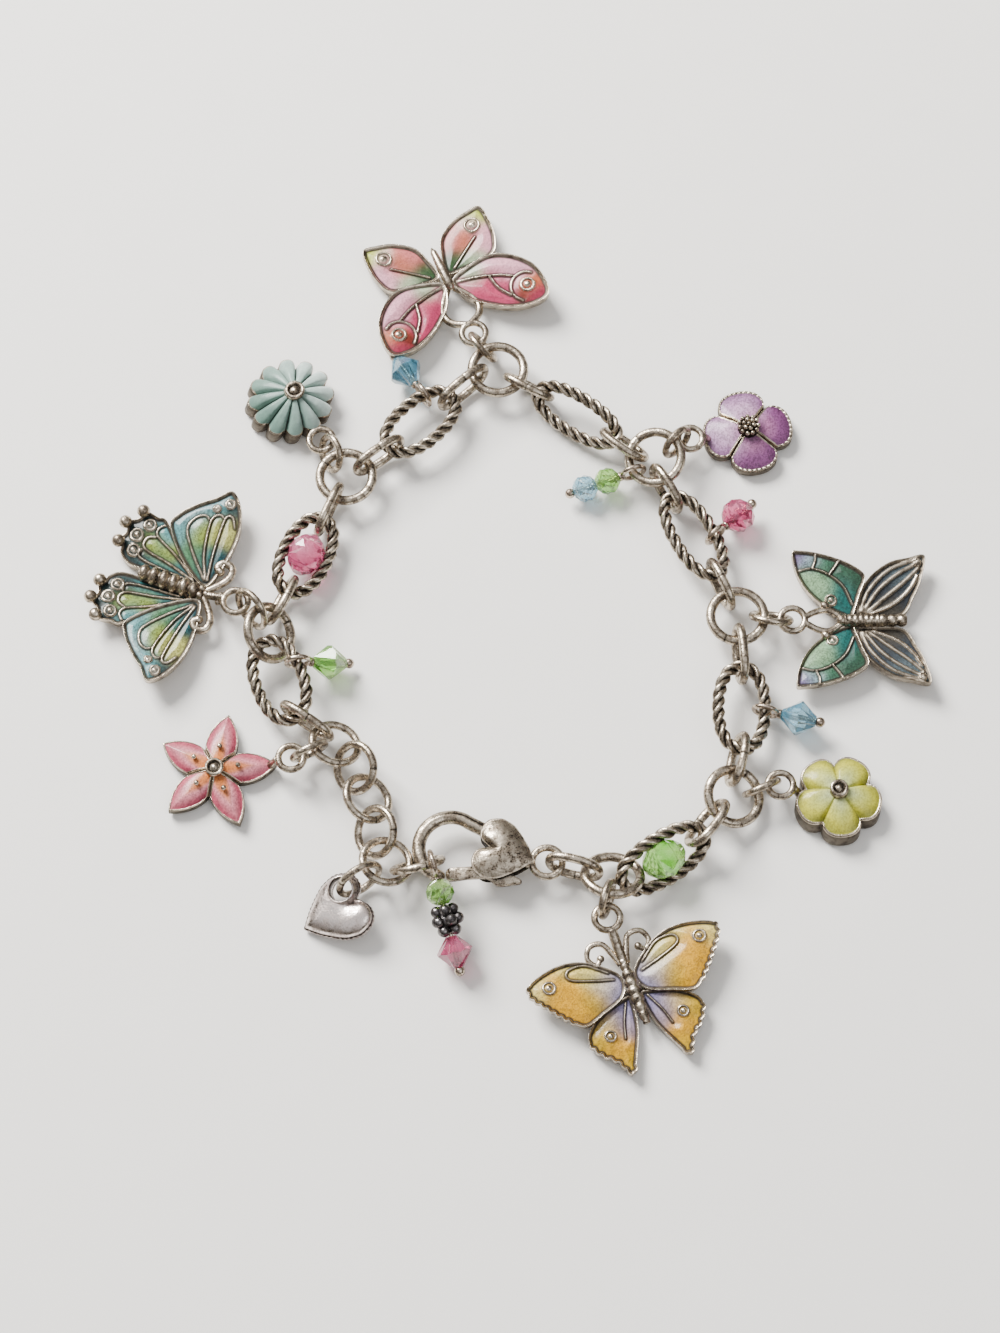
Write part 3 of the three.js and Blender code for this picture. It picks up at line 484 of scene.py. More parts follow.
def rope_section(wire, steps, sides):
    """How far out a rope's surface lies, and how deep in its groove. For strands of radius r with their
    middles c from the rope's middle, it is c cos(d) + sqrt(r^2 - c^2 sin(d)^2), d being the angle to the
    nearest one."""
    strand = 0.464 * wire / 2
    middle = wire / 2 - strand
    turn = np.linspace(0, 2 * np.pi, sides, endpoint=False)[None, :]
    along = np.linspace(0, 2 * np.pi * ROPE_TURNS, steps, endpoint=False)[:, None]
    third = 2 * np.pi / STRANDS
    nearest = (turn - along + third / 2) % third - third / 2
    reach = middle * np.cos(nearest) + np.sqrt(np.maximum(strand**2 - (middle * np.sin(nearest)) ** 2, 0))
    groove = np.clip((0.88 - 2 * reach / wire) / 0.34, 0, 1)
    return np.maximum(reach, 0.27 * wire) * 1.04, groove


def link_skin(name):
    """The wire of one link, in the place and size of its CAD node."""
    kind = next(key for key in LINKS if name.startswith(key))
    wire, roundness = LINKS[kind]["wire"], LINKS[kind]["round"]
    points = node_points(name)
    if name in STONES:
        points = without_stone(points)
    centre, axes = main_axes(points)
    own = (points - centre) @ axes
    centre = centre + axes @ ((own.max(0) + own.min(0)) / 2)
    if kind.endswith("ring"):
        half_length = half_width = np.hypot(own[:, 0], own[:, 1]).mean()
    else:
        half_length, half_width = ((own.max(0) - own.min(0)) / 2)[:2] - 0.47 * wire
    if kind == "rope_link":
        reach, groove = rope_section(wire, ROPE_STEPS, 24)
        line = oval_line(half_length, half_width, roundness, ROPE_STEPS)
        skin = tube(line, reach, sides=24, closed=True, recess=groove)
    else:
        line = oval_line(half_length, half_width, roundness, PLAIN_STEPS)
        at_seam = (np.arange(PLAIN_STEPS) == SEAM)[:, None]
        girth = wire / 2 * np.where(at_seam, 0.9, 1.0) * np.ones((PLAIN_STEPS, 16))
        skin = tube(line, girth, sides=16, closed=True, recess=at_seam * 0.9)
    return skin.moved((centre, axes)), (centre, axes)


for name in frame["nodes"]:
    if name.startswith(tuple(LINKS)):
        skin, place = link_skin(name)
        piece(name + "_wire", [skin], OXIDISED, [name])
print("links drawn")

# %% [markdown]
# Two ovals hold a faceted stone in their opening. Stones, here and on the drops, are rings of flat facets
# round an axis: a small table at each end, then rows that are turned by half a facet from one to the next,
# as a cutter sets them.


# %% Stones
def stone(across, along, facets, rows, centre=(0, 0, 0), axis=(1, 0, 0)):
    """A cut stone: rows of corners given as shares (along, out), every second row turned by half a facet."""
    rows = np.asarray(rows, float)
    axis = unit(np.asarray(axis, float))
    side = unit(np.cross(axis, [0.1, 0.2, 0.93]))
    other = np.cross(axis, side)
    turn = 2 * np.pi * (np.arange(facets)[None, :] + 0.5 * (np.arange(len(rows))[:, None] % 2)) / facets
    out = (rows[:, 1] * across / 2)[:, None, None]
    around = np.cos(turn)[..., None] * side + np.sin(turn)[..., None] * other
    return Skin(np.asarray(centre, float) + (rows[:, 0] * along / 2)[:, None, None] * axis + out * around)


BICONE = [(-1, 0.3), (-0.06, 0.98), (0.06, 0.98), (1, 0.3)]
ROUND_CUT = [(-1, 0.42), (-0.72, 0.76), (-0.3, 0.97), (0.3, 0.97), (0.72, 0.76), (1, 0.42)]
OVAL_CUT = [(-1, 0.3), (-0.75, 0.68), (-0.4, 0.92), (0, 1.0), (0.4, 0.92), (0.75, 0.68), (1, 0.3)]

for name, tint in STONES.items():
    centre, axes = link_skin(name)[1]
    gem = stone(4.7, 5.4, 10, OVAL_CUT).moved((centre + 0.3 * axes[:, 2] * np.sign(axes[2, 2]), axes))
    piece(name + "_stone", [gem], CRYSTALS[tint], smooth=False)
print("stones set")

# %% [markdown]
# A drop is a headpin: a ball-ended wire that carries one to three beads and closes in a loop round its
# link. The pin is read from the CAD node: its main direction is the pin, and the loop's far side is the
# node's end.

# %% Drops
LOOP_OUTER = 3.6
PIN_WIRE = 0.65
NECK = 0.2
BALL = 1.3
BALL_SINK = 0.15
WRAP_WIRE = 0.4
WRAP_REACH = 0.42
BEADS = {
    "crystal": {"across": 4.5, "along": 4.3, "facets": 8, "rows": BICONE},
    "round": {"across": 4.4, "along": 3.8, "facets": 9, "rows": ROUND_CUT},
    "small": {"across": 3.5, "along": 3.0, "facets": 8, "rows": ROUND_CUT},
    "cone": {"across": 4.5, "along": 3.8, "facets": 8, "rows": BICONE},
    "cluster": {"across": 4.2, "along": 3.9},
}
DROPS = {
    "drop_blue_top": (124, [("crystal", "blue_crystal")]),
    "drop_pink": (42, [("round", "pink_crystal")]),
    "drop_blue_right": (-14, [("crystal", "blue_crystal")]),
    "drop_green": (8, [("crystal", "green_crystal")]),
    "drop_pair": (198, [("small", "green_crystal"), ("small", "blue_crystal")]),
    "drop_long": (-75, [("small", "green_crystal"), ("cluster", "dark_cluster"), ("cone", "pink_crystal")]),
}


def heading(degrees):
    """The level direction at an angle from the photo's right, turning left."""
    return np.array([np.cos(np.radians(degrees)), np.sin(np.radians(degrees)), 0.0])


def pin_place(name, lie):
    """The middle of the drop's loop, and its frame: along the pin, across it and level, and over it."""
    points = node_points(name)
    centre, axes = main_axes(points)
    along = axes[:, 0] * np.sign(axes[:, 0] @ heading(lie))
    ahead = (points - centre) @ along
    across = unit(np.cross(UP, along))
    frame_axes = np.stack([along, across, np.cross(along, across)], 1)
    return centre + (ahead.min() + LOOP_OUTER / 2) * along, frame_axes


def cluster(middle, across, along):
    """Small dark balls packed round the pin: five round the middle and four round each end, over a core."""
    radius = 0.72
    reach = across / 2 - radius
    skins = [ball((middle, 0, 0), reach * 0.85)]
    for shift, count, out in ((-0.62, 4, 0.72), (0.0, 5, 1.0), (0.62, 4, 0.72)):
        turn = 2 * np.pi * (np.arange(count) + (0.5 if shift > 0 else 0.0)) / count
        ahead = 0 * turn + middle + shift * along / 2
        spots = np.stack([ahead, out * reach * np.cos(turn), out * reach * np.sin(turn)], -1)
        skins += [ball(spot, radius) for spot in spots]
    return skins


def drop(name, lie, beads):
    """A drop: its beads one after another from the loop's neck, on a pin with a ball at the end."""
    place = pin_place(name, lie)
    reach = (LOOP_OUTER - PIN_WIRE) / 2
    turn = np.linspace(0, 2 * np.pi, 48, endpoint=False)
    loop = np.stack([reach * np.cos(turn), 0 * turn, reach * np.sin(turn)], -1)
    metal = [tube(loop, PIN_WIRE / 2, up=np.array([0, 1.0, 0]), closed=True)]
    at = LOOP_OUTER / 2 + NECK
    for number, (kind, tint) in enumerate(beads):
        bead = BEADS[kind]
        middle = at + bead["along"] / 2
        label = name + "_bead_" + str(number + 1)
        if kind == "cluster":
            piece(label, cluster(middle, bead["across"], bead["along"]), GUNMETAL, place=place)
        else:
            gem = stone(bead["across"], bead["along"], bead["facets"], bead["rows"], (middle, 0, 0))
            piece(label, [gem], CRYSTALS[tint], smooth=False, place=place)
        at += bead["along"]
    end = at + BALL / 2 - BALL_SINK
    line = np.linspace([reach, 0, 0], [end, 0, 0], 12)
    metal.append(tube(line, PIN_WIRE / 2))
    metal.append(ball((end, 0, 0), BALL / 2))
    wraps = np.linspace(0, 4 * np.pi, 40)
    first = LOOP_OUTER / 2 - 0.25
    coil = np.stack([first + 0.1 * wraps / np.pi, WRAP_REACH * np.cos(wraps), WRAP_REACH * np.sin(wraps)], -1)
    metal.append(tube(coil, WRAP_WIRE / 2, up=np.array([1.0, 0, 0]), sides=8))
    piece(name + "_pin", metal, POLISHED, [name], place=place)


for name, (lie, beads) in DROPS.items():
    drop(name, lie, beads)
print("drops hung")

# %% [markdown]
# Every charm lies flat on its back with its own loop towards the chain. Its CAD node gives the place: the
# far side of the loop is the node's end in the direction of the chain, and the charm is as wide on one side
# as on the other.

# %% Where a charm lies
CHARM_LOOP = {"outer": 3.95, "wire": 0.85}
LOOP_REACH = 1.95
LUG = {"wire": 1.04, "foot": 0.9}


def charm_place(name, lie, reach):
    """The charm's origin and frame. reach is the distance from its origin to the far side of its loop."""
    points = node_points(name)
    head = -heading(lie)
    side = np.cross(UP, head)
    along, across = points @ head, points @ side
    origin = (along.max() - reach) * head + (across.max() + across.min()) / 2 * side + points[:, 2].min() * UP
    return origin, np.stack([head, side, UP], 1)


def charm_loop(at, height):
    """A charm's loop, lying level at a distance from the charm's origin."""
    reach = (CHARM_LOOP["outer"] - CHARM_LOOP["wire"]) / 2
    line = oval_line(reach, reach, 2.0, 56) + [at, 0, height]
    return tube(line, CHARM_LOOP["wire"] / 2, closed=True)


# %% [markdown]
# A cast charm's front is a height over its outline. The rim and the lines between the cells stand up as
# rounded ridges, round spots stand on them, the enamel swells a little in the middle of each cell, and a
# dark line of oxide lies beside each ridge. The enamel's colour is a blend of a few patches, each strongest
# at its own middle.


# %% Cast fronts
def distance_to(points, line, closed=False):
    """How far each point lies from a line: the least distance to any of its short straight stretches."""
    start = line if closed else line[:-1]
    step = (np.roll(line, -1, 0) if closed else line[1:]) - (line if closed else line[:-1])
    away = points[..., None, :] - start
    share = np.clip((away * step).sum(-1) / np.maximum((step**2).sum(-1), 1e-9), 0, 1)
    return np.linalg.norm(away - share[..., None] * step, axis=-1).min(-1)


def ridge(distance, half_width):
    """A rounded ridge: 1 along its middle and 0 from its half width outwards."""
    return np.clip(1 - (distance / half_width) ** 2, 0, 1)


GLASS_DEPTH = 1.7


def glass(tint):
    """A tint as melted glass holds it: deeper and purer than the same tint as a paint."""
    return srgb(*tint) ** GLASS_DEPTH


def blend(points, patches):
    """The enamel's colour: the mean of the patches' colours, each weighed by a bell of its own spread."""
    total = np.zeros(points.shape[:-1])
    colour = np.zeros((*points.shape[:-1], 3))
    for x, y, spread, tint in patches:
        weight = np.exp(-((points[..., 0] - x) ** 2 + (points[..., 1] - y) ** 2) / spread**2) + 1e-9
        total += weight
        colour += weight[..., None] * glass(tint)
    return colour / total[..., None]


ENAMEL_DEPTH = 0.3


class Front:
    """What stands on a cast front, in its charm's own millimetres."""

    def __init__(self, patches, lines=(), spots=(), rim=0.42, wire=0.2, swell=0.28, ribs=()):
        self.patches, self.lines, self.spots, self.ribs = patches, lines, spots, ribs
        self.rim, self.wire, self.swell = rim, wire, swell

    def relief(self, flat, edge):
        """Height over the plate, and what is metal, hollow and enamel at each point."""
        to_edge = distance_to(flat, edge, closed=True)
        rim = ridge(to_edge, self.rim)
        near = to_edge - self.rim * 0.8
        raised = rim * ENAMEL_DEPTH * 1.1
        metal = ridge(to_edge, self.rim * 1.15) > 0.02
        hollow = ridge(np.abs(to_edge - self.rim * 1.15), 0.2) * 0.95
        for points in self.lines:
            gap = distance_to(flat, smooth_line(points, 36))
            raised = np.maximum(raised, ridge(gap, self.wire) * ENAMEL_DEPTH)
            metal = metal | (gap < self.wire * 0.85)
            hollow = np.maximum(hollow * (gap > self.wire), ridge(np.abs(gap - self.wire * 1.3), 0.17) * 0.9)
            near = np.minimum(near, gap)
        floor = self.swell * (1 - np.exp(-((np.maximum(near, 0) / 0.9) ** 2)))
        height = np.maximum(floor, raised)
        for points in self.ribs:
            gap = distance_to(flat, smooth_line(points, 36))
            height = height + 0.3 * ridge(gap, 0.34)
            hollow = np.maximum(hollow * (gap > 0.3), 0.5 * (1 - ridge(gap, 0.55)))
            metal = metal | (gap < 0.26)
        for x, y, radius in self.spots:
            gap = np.hypot(flat[..., 0] - x, flat[..., 1] - y)
            ring = ridge(gap - radius, 0.2)
            height = height + 0.26 * ring + 0.3 * ridge(gap, radius * 0.72)
            groove = 0.8 * ridge(np.abs(gap - radius * 0.78), 0.13)
            hollow = np.maximum(hollow * (np.abs(gap - radius) > 0.16), groove)
            metal = metal | (np.abs(gap - radius) < 0.17) | (gap < radius * 0.5)
        return height, metal.astype(float), np.clip(hollow, 0, 1), blend(flat, self.patches)


def plated(back, top, dark, hollow, metal, paint):
    """One skin from the rows of a bare back, all equally dark, and the rows of an enamelled front."""
    plain = np.ones(back.shape[:2])
    return Skin(
        np.concatenate([back, top]),
        recess=np.concatenate([plain * dark, hollow]),
        metal=np.concatenate([plain, metal]),
        paint=np.concatenate([np.repeat(paint[:1], len(back), axis=0), paint]),
    )


def cast_plate(edge, middle, thick, front):
    """A cast plate. Its rows run from the middle of the flat back to the edge, up the rounded side, and over
    the front to the middle, at thick plus the front's relief."""
    shares = np.concatenate([[1.0, 0.995], np.linspace(0.985, 0.012, 44)])
    flat = middle + shares[:, None, None] * (edge - middle)
    height, metal, hollow, paint = front.relief(flat, edge)
    height[0] -= 0.22
    top = np.concatenate([flat, (thick + height)[..., None]], -1)
    low = middle + np.array([0.012, 0.5, 0.985, 1.0])[:, None, None] * (edge - middle)
    levels = np.array([0.0, 0.0, 0.0, 0.18])[:, None, None] * np.ones((4, len(edge), 1))
    return plated(np.concatenate([low, levels], -1), top, 0.35, hollow, metal, paint)


def wing_pair(outline, middle, front, lift, lower, thick, factor=1.0):
    """A wing and its mirror image. Each is raised by lower, and towards its tip by the same small angle."""
    edge = smooth_line(np.asarray(outline) * factor, 190, closed=True)
    wing = cast_plate(edge, np.asarray(middle), thick, front)
    wing.points[..., 2] += lower + np.abs(wing.points[..., 1]) * np.tan(np.radians(lift))
    return [wing, Skin(wing.points * [1, -1, 1], False, wing.recess, wing.metal, wing.paint)]


def wire_pair(points, radius, count=60):
    """A wire through the points and its mirror image."""
    lines = [smooth_line(np.asarray(points) * [1, side, 1], count) for side in (1, -1)]
    return [tube(line, radius) for line in lines]


def balls(spots):
    """A ball for each (x, y, z, radius) and, off the middle line, its mirror image."""
    return [ball((x, side * y, z), size) for x, y, z, size in spots for side in ((1, -1) if y else (1,))]


def butterfly(name, lie, loop, wings, finish, metal):
    """Both pairs of wings, each given as wing_pair takes it, and the silver on top with its loop."""
    place = charm_place(name, lie, loop[0] + LOOP_REACH)
    skins = [skin for wing in wings for skin in wing_pair(*wing)]
    piece(name + "_wings", skins, finish, [name], place=place)
    piece(name + "_body", [*metal, charm_loop(*loop)], OXIDISED, place=place)
    print(name, "made")


# %% [markdown]
# The pink butterfly has pointed hind wings with yellow-green tips and long rounded fore wings, each with an
# eye spot near its end. A thin bright line divides each fore wing into a pale cell and two rose cells.

# %% Pink butterfly
ROSE, PALE_ROSE, DEEP_ROSE = (204, 108, 140), (232, 190, 202), (184, 88, 120)
LEAF, PALE_LEAF, MOSS = (206, 214, 110), (200, 214, 190), (92, 124, 88)
AMBER, RUST = (206, 140, 98), (150, 86, 62)

fore_edge = [
    (0.5, 0.6), (-0.4, 2.8), (-0.7, 5.9), (0.5, 8.4), (2.9, 10.4), (5.7, 11.0), (7.7, 10.5), (8.1, 8.5),
    (7.3, 5.8), (5.4, 3.1), (3.2, 1.2),
]
hind_edge = [
    (-1, 0.5), (-4.1, 1.0), (-6, 1.9), (-7.4, 4), (-7.9, 6.1), (-7.9, 7.9), (-5.8, 8.3), (-3, 8), (-1, 6.7),
    (-0.6, 3),
]
eye = [(5.7 + 2.1 * np.cos(a), 8.9 + 2.0 * np.sin(a)) for a in np.linspace(2.4, 5.6, 7)]
fore = Front(
    patches=[
        (0.6, 3.6, 1.3, PALE_LEAF), (0.2, 6.2, 1.6, PALE_ROSE), (3.4, 4.2, 1.9, ROSE), (5.4, 6.0, 1.4, ROSE),
        (2.6, 8.8, 1.6, PALE_ROSE), (5.6, 9.4, 1.2, AMBER), (7.2, 9.6, 1.1, DEEP_ROSE), (6.6, 8.0, 0.9, RUST),
        (1.6, 1.6, 1.0, (210, 160, 170)),
    ],
    lines=[
        [(0.9, 1.2), (1.5, 3.6), (2.5, 6.2), (3.6, 8.0)],
        eye,
        [(2.2, 5.2), (4.2, 5.6), (5.9, 6.6)],
    ],
    spots=[(5.6, 9.1, 0.85)],
)
hind = Front(
    patches=[
        (-7.7, 7.6, 1.4, LEAF), (-6.6, 6.2, 1.1, (236, 220, 214)), (-4.6, 4.8, 1.6, AMBER),
        (-3.6, 7.0, 1.7, PALE_ROSE), (-5.6, 3.0, 1.6, (222, 160, 160)), (-2.2, 2.2, 1.5, MOSS),
        (-1.2, 4.6, 1.4, PALE_LEAF),
    ],
    lines=[[(-1.4, 1.8), (-3.0, 4.0), (-4.4, 6.0)]],
    spots=[(-6.1, 6.3, 0.95)],
    wire=0.16,
)
metal = [turned([(-4.9, 0.1), (-4.2, 0.45), (-1.5, 0.62), (0.8, 0.6), (1.6, 0.4), (1.9, 0.1)], (0, 0, 2.0))]
metal += wire_pair([(1.2, 0.4, 1.4), (4.0, 2.3, 1.4), (6.1, 2.0, 1.6), (7.4, 0.3, 2.0)], 0.48, 40)
wings = [(hind_edge, (-3.6, 4.3), hind, 5, 0.0, 0.9, 1.05), (fore_edge, (3.0, 6.0), fore, 8, 0.45, 1.0, 1.05)]
butterfly("pink_butterfly", 114, (8.9, 2.0), wings, enamel("pink_enamel", 0.4), metal)

# %% [markdown]
# The blue-green butterfly is cloisonné: bent silver wire walls off long drop-shaped cells, filled from deep
# teal at the root to yellow-green and pale blue at the edge. Its hind wings end in a scalloped edge with
# three balls.

# %% Blue-green butterfly
TEAL, DEEP_TEAL, SEA = (84, 148, 150), (36, 100, 112), (132, 182, 186)
ICE, OLIVE, STRAW = (188, 208, 212), (178, 190, 96), (200, 200, 140)
ASH = (92, 110, 110)

fore_edge = [
    (0.4, 0.9), (-3.4, 3.2), (-6.6, 6.8), (-6.3, 8.6), (-4.6, 10.6), (-2.5, 12.3), (-0.9, 13.8), (0.8, 12.4),
    (1.9, 9.6), (2.1, 6.6), (1.6, 3.4),
]
hind_edge = [
    (-1, 0.8), (-5, 0.6), (-9.6, 0.6), (-11.3, 1.6), (-11.6, 2.6), (-12.1, 3.4), (-11.7, 4.5), (-12.0, 5.8),
    (-10.9, 6.6), (-10.2, 7.8), (-8.6, 7.6), (-7.2, 7.4), (-3.4, 3.6),
]
fore = Front(
    patches=[
        (0.9, 4.6, 1.6, DEEP_TEAL), (1.4, 8.4, 1.4, STRAW), (-0.4, 8.4, 1.5, STRAW), (-0.2, 4.6, 1.3, TEAL),
        (-2.6, 7.6, 1.6, OLIVE), (-2.0, 4.6, 1.5, (120, 160, 130)), (-5.0, 7.4, 1.6, SEA),
        (-4.4, 9.4, 1.5, ICE), (-2.4, 11.2, 1.6, SEA), (0.2, 11.6, 1.2, ASH),
    ],
    lines=[
        [(0.1, 1.8), (-2.4, 4.4), (-4.4, 7.2), (-4.0, 9.0), (-2.9, 9.7), (-2.0, 9.2)],
        [(0.3, 1.8), (-1.2, 5.0), (-2.0, 9.2), (-1.2, 10.4), (-0.4, 10.0)],
        [(0.5, 1.9), (-0.1, 5.4), (-0.4, 10.0), (0.4, 10.6), (1.2, 9.4)],
    ],
    spots=[(-0.5, 12.1, 0.55), (-1.9, 11.0, 0.4)],
    rim=0.36,
    wire=0.17,
)
hind = Front(
    patches=[
        (-3.0, 1.8, 1.6, TEAL), (-6.0, 1.6, 1.6, TEAL), (-5.6, 3.6, 1.3, OLIVE), (-8.0, 4.4, 1.2, OLIVE),
        (-6.8, 5.8, 1.4, SEA), (-9.4, 2.0, 1.4, ASH), (-10.6, 4.6, 1.6, ASH), (-9.6, 6.8, 1.4, ASH),
    ],
    lines=[
        [(-1.4, 1.4), (-5.0, 2.4), (-8.6, 3.2), (-8.9, 4.6), (-7.6, 5.2)],
        [(-1.6, 1.8), (-4.8, 3.8), (-7.6, 5.2), (-8.0, 6.2), (-7.4, 6.9)],
        [(-2.0, 1.2), (-6.4, 1.5), (-8.9, 2.0), (-9.0, 3.0)],
    ],
    spots=[(-9.9, 2.5, 0.72), (-10.3, 4.5, 0.75), (-9.2, 6.3, 0.7)],
    rim=0.32,
    wire=0.17,
)
along = np.linspace(-8.0, 0.2, 90)
knobs = 0.55 + 0.45 * np.abs(np.sin(np.pi * (along + 8.0) / 1.37))
taper = 0.95 + 0.35 * np.sin(np.pi * (along + 8.6) / 9.2)
dark = np.clip(1.4 - 1.6 * knobs, 0, 1)[:, None]
metal = [turned(np.stack([along, knobs * taper], -1), (0, 0, 1.75), recess=dark)]
metal += balls([
    (0.5, 0.45, 2.0, 0.52), (1.2, 0, 1.9, 0.5), (3.0, 0.5, 2.0, 0.42), (2.3, 0, 2.2, 0.5),
    (1.6, 3.5, 1.75, 0.6), (-12.1, 2.9, 1.79, 0.85), (-12.2, 5.5, 2.05, 0.85), (-10.6, 7.6, 2.26, 0.85),
])
metal.append(tube(smooth_line([(0.8, 0, 1.6), (2.4, 0, 2.2), (3.75, 0, 2.95)], 20), 0.5))
scroll = [(0.9, 0.4), (2.0, 1.5), (3.0, 3.0), (2.9, 4.4), (1.7, 4.8), (1.1, 4.0), (1.6, 3.4)]
metal += wire_pair([(x, y, 1.75) for x, y in scroll], np.linspace(0.44, 0.54, 60))
wings = [(hind_edge, (-6.4, 3.4), hind, 6, 0.0, 0.9), (fore_edge, (-1.6, 7.4), fore, 7, 0.4, 0.9)]
butterfly("blue_green_butterfly", 159, (5.3, 3.0), wings, enamel("sea_enamel", 0.7), metal)

# %% [markdown]
# The yellow butterfly is softer: amber enamel that turns cream along the front edge and lilac at the root,
# a raised leaf-shaped cell on each fore wing, ringed spots, and an outer edge in small scallops of silver.

# %% Yellow butterfly
HONEY, GOLD, CREAM, LILAC = (226, 188, 44), (210, 186, 60), (238, 226, 164), (180, 176, 206)


def scalloped(points, outer, depth, count):
    """An outline whose stretch between two shares of its length swings in and out count times."""
    line = smooth_line(points, 220, closed=True)
    share = np.arange(220) / 220
    inside = (share > outer[0]) & (share < outer[1])
    wave = depth * np.abs(np.sin(np.pi * count * (share - outer[0]) / (outer[1] - outer[0]))) * inside
    ahead = unit(np.roll(line, -1, 0) - np.roll(line, 1, 0))
    outward = np.stack([ahead[:, 1], -ahead[:, 0]], -1)
    area = (line[:, 0] * np.roll(line[:, 1], -1) - line[:, 1] * np.roll(line[:, 0], -1)).sum()
    return line + np.sign(area) * (wave - 0.3 * depth * inside)[:, None] * outward


fore_edge = scalloped(
    [
        (1.5, 0.7), (3.6, 2.6), (5.2, 5.6), (5.3, 8.8), (4.2, 12.0), (2.7, 12.4), (0.5, 10.8), (-1.8, 8.8),
        (-3, 7.1), (-2.2, 4.6), (-0.8, 1.5),
    ],
    (0.42, 0.68), 0.3, 8,
)
hind_edge = scalloped(
    [
        (-0.8, 0.9), (-1.8, 4.6), (-3.4, 6.9), (-5, 7.5), (-6.8, 6.5), (-8.2, 5), (-10.2, 3.7), (-7.4, 2.1),
        (-5, 1.1), (-2, 0.6),
    ],
    (0.32, 0.64), 0.28, 7,
)
fore = Front(
    patches=[
        (3.6, 11.0, 1.6, CREAM), (2.6, 8.6, 1.9, HONEY), (0.0, 7.8, 1.8, HONEY), (4.8, 7.0, 1.3, CREAM),
        (3.4, 4.4, 1.5, (226, 216, 150)), (-0.4, 5.0, 1.6, GOLD), (1.2, 3.0, 1.4, (214, 206, 180)),
        (0.4, 1.4, 2.3, LILAC), (-1.8, 6.4, 1.0, HONEY),
    ],
    lines=[[(1.6, 1.8), (2.2, 4.2), (3.2, 6.9), (4.3, 6.7), (4.3, 4.6), (2.6, 2.2)]],
    spots=[(2.9, 9.6, 0.72)],
    rim=0.34, wire=0.14, swell=0.4,
)
hind = Front(
    patches=[
        (-2.0, 1.6, 2.2, LILAC), (-4.4, 2.0, 1.4, (186, 172, 178)), (-2.8, 4.4, 1.5, (206, 190, 150)),
        (-4.6, 5.8, 1.6, GOLD), (-6.8, 4.0, 1.7, HONEY), (-8.6, 3.4, 1.4, GOLD),
    ],
    lines=[[(-1.4, 1.4), (-3.6, 2.4), (-5.6, 3.0)]],
    spots=[(-4.8, 4.6, 0.62)],
    rim=0.32, wire=0.12, swell=0.36,
)
along = np.linspace(-4.8, 3.2, 80)
girth = 0.4 + 0.5 * np.sin(np.pi * (along + 5.2) / 9.0)
girth = girth * (0.75 + 0.25 * np.abs(np.sin(np.pi * along / 1.1)))
metal = [turned(np.stack([along, girth], -1), (0, 0, 1.75), recess=0.25)]
metal += balls([(3.2, 0, 1.8, 0.62), (4.5, 2.4, 1.7, 0.48)])
metal.append(tube(smooth_line([(3.2, 0, 1.7), (5.2, 0, 2.2), (7.2, 0, 2.9)], 30), 0.62))
curl = [(3.0, 0.4), (4.6, 0.9), (6.2, 1.7), (6.3, 3.2), (5.0, 3.9), (3.9, 3.2), (4.4, 2.4)]
metal += wire_pair([(x, y, 1.7) for x, y in curl], np.linspace(0.4, 0.32, 60))
wings = [(hind_edge, (-4.6, 3.4), hind, 4, 0.0, 0.9, 0.97), (fore_edge, (1.6, 6.6), fore, 7, 0.4, 0.9, 0.97)]
butterfly("yellow_butterfly", -70, (8.7, 3.0), wings, enamel("amber_enamel", 0.5), metal)

# %% [markdown]
# The teal butterfly has two kinds of wing: enamelled fore wings, green turning pale with a violet corner,
# and hind wings of plain cast ribs with a grey-blue wash between them.

# %% Teal butterfly
JADE, PALE_JADE, FOREST, VIOLET = (74, 142, 138), (176, 202, 172), (98, 130, 112), (152, 130, 172)
SLATE, STEEL = (96, 112, 126), (150, 166, 172)

fore_edge = [
    (0, 0.4), (3.1, 1.8), (5.5, 4), (6.8, 6.5), (7.2, 9), (6.3, 9.2), (4.5, 9), (2.2, 8.4), (-0.2, 7.4),
    (-1.9, 5.9), (-1.2, 3.6), (-0.4, 1.2),
]
hind_edge = [
    (-0.8, 0.8), (-1.2, 3.7), (-2.5, 5.9), (-4.9, 7.7), (-7.3, 8.3), (-9.5, 8.6), (-9, 5.6), (-8, 3.3),
    (-6.5, 0.95), (-3, 0.6),
]
fore = Front(
    patches=[
        (0.8, 1.8, 1.5, JADE), (1.2, 3.8, 1.5, JADE), (3.6, 4.2, 1.4, PALE_JADE), (5.2, 5.6, 1.4, PALE_JADE),
        (6.2, 8.4, 1.2, VIOLET), (5.0, 8.0, 1.1, ICE), (3.2, 7.4, 1.3, (110, 150, 130)),
        (0.6, 6.6, 1.6, FOREST), (-1.0, 5.0, 1.2, FOREST),
    ],
    lines=[
        [(6.3, 6.6), (4.8, 6.9), (2.8, 6.2), (0.9, 4.6), (-0.2, 2.2)],
        [(4.7, 6.9), (4.3, 8.0), (4.3, 8.8)],
        [(2.6, 6.1), (1.8, 7.2), (1.3, 8.0)],
    ],
    spots=[(2.5, 2.7, 0.6)],
    rim=0.34,
    wire=0.16,
)
ribs = [
    [(-1.2, 1.4), (-2.4, 4.2), (-5.0, 6.8), (-8.6, 8.2)],
    [(-1.6, 1.4), (-3.6, 4.2), (-6.0, 6.2), (-8.8, 7.8)],
    [(-2.0, 1.2), (-4.6, 3.4), (-6.8, 5.2), (-8.7, 7.0)],
    [(-2.6, 1.1), (-5.4, 2.4), (-7.4, 4.2), (-8.5, 6.0)],
]
hind = Front(
    patches=[
        (-3, 4.6, 2.2, SLATE), (-6.6, 6.6, 1.8, STEEL), (-7.4, 3.6, 1.8, SLATE),
        (-5, 2, 1.6, (132, 128, 118)),
    ],
    ribs=ribs,
    spots=[(-8.5, 7.7, 0.4)],
    rim=0.36,
    swell=0.1,
)
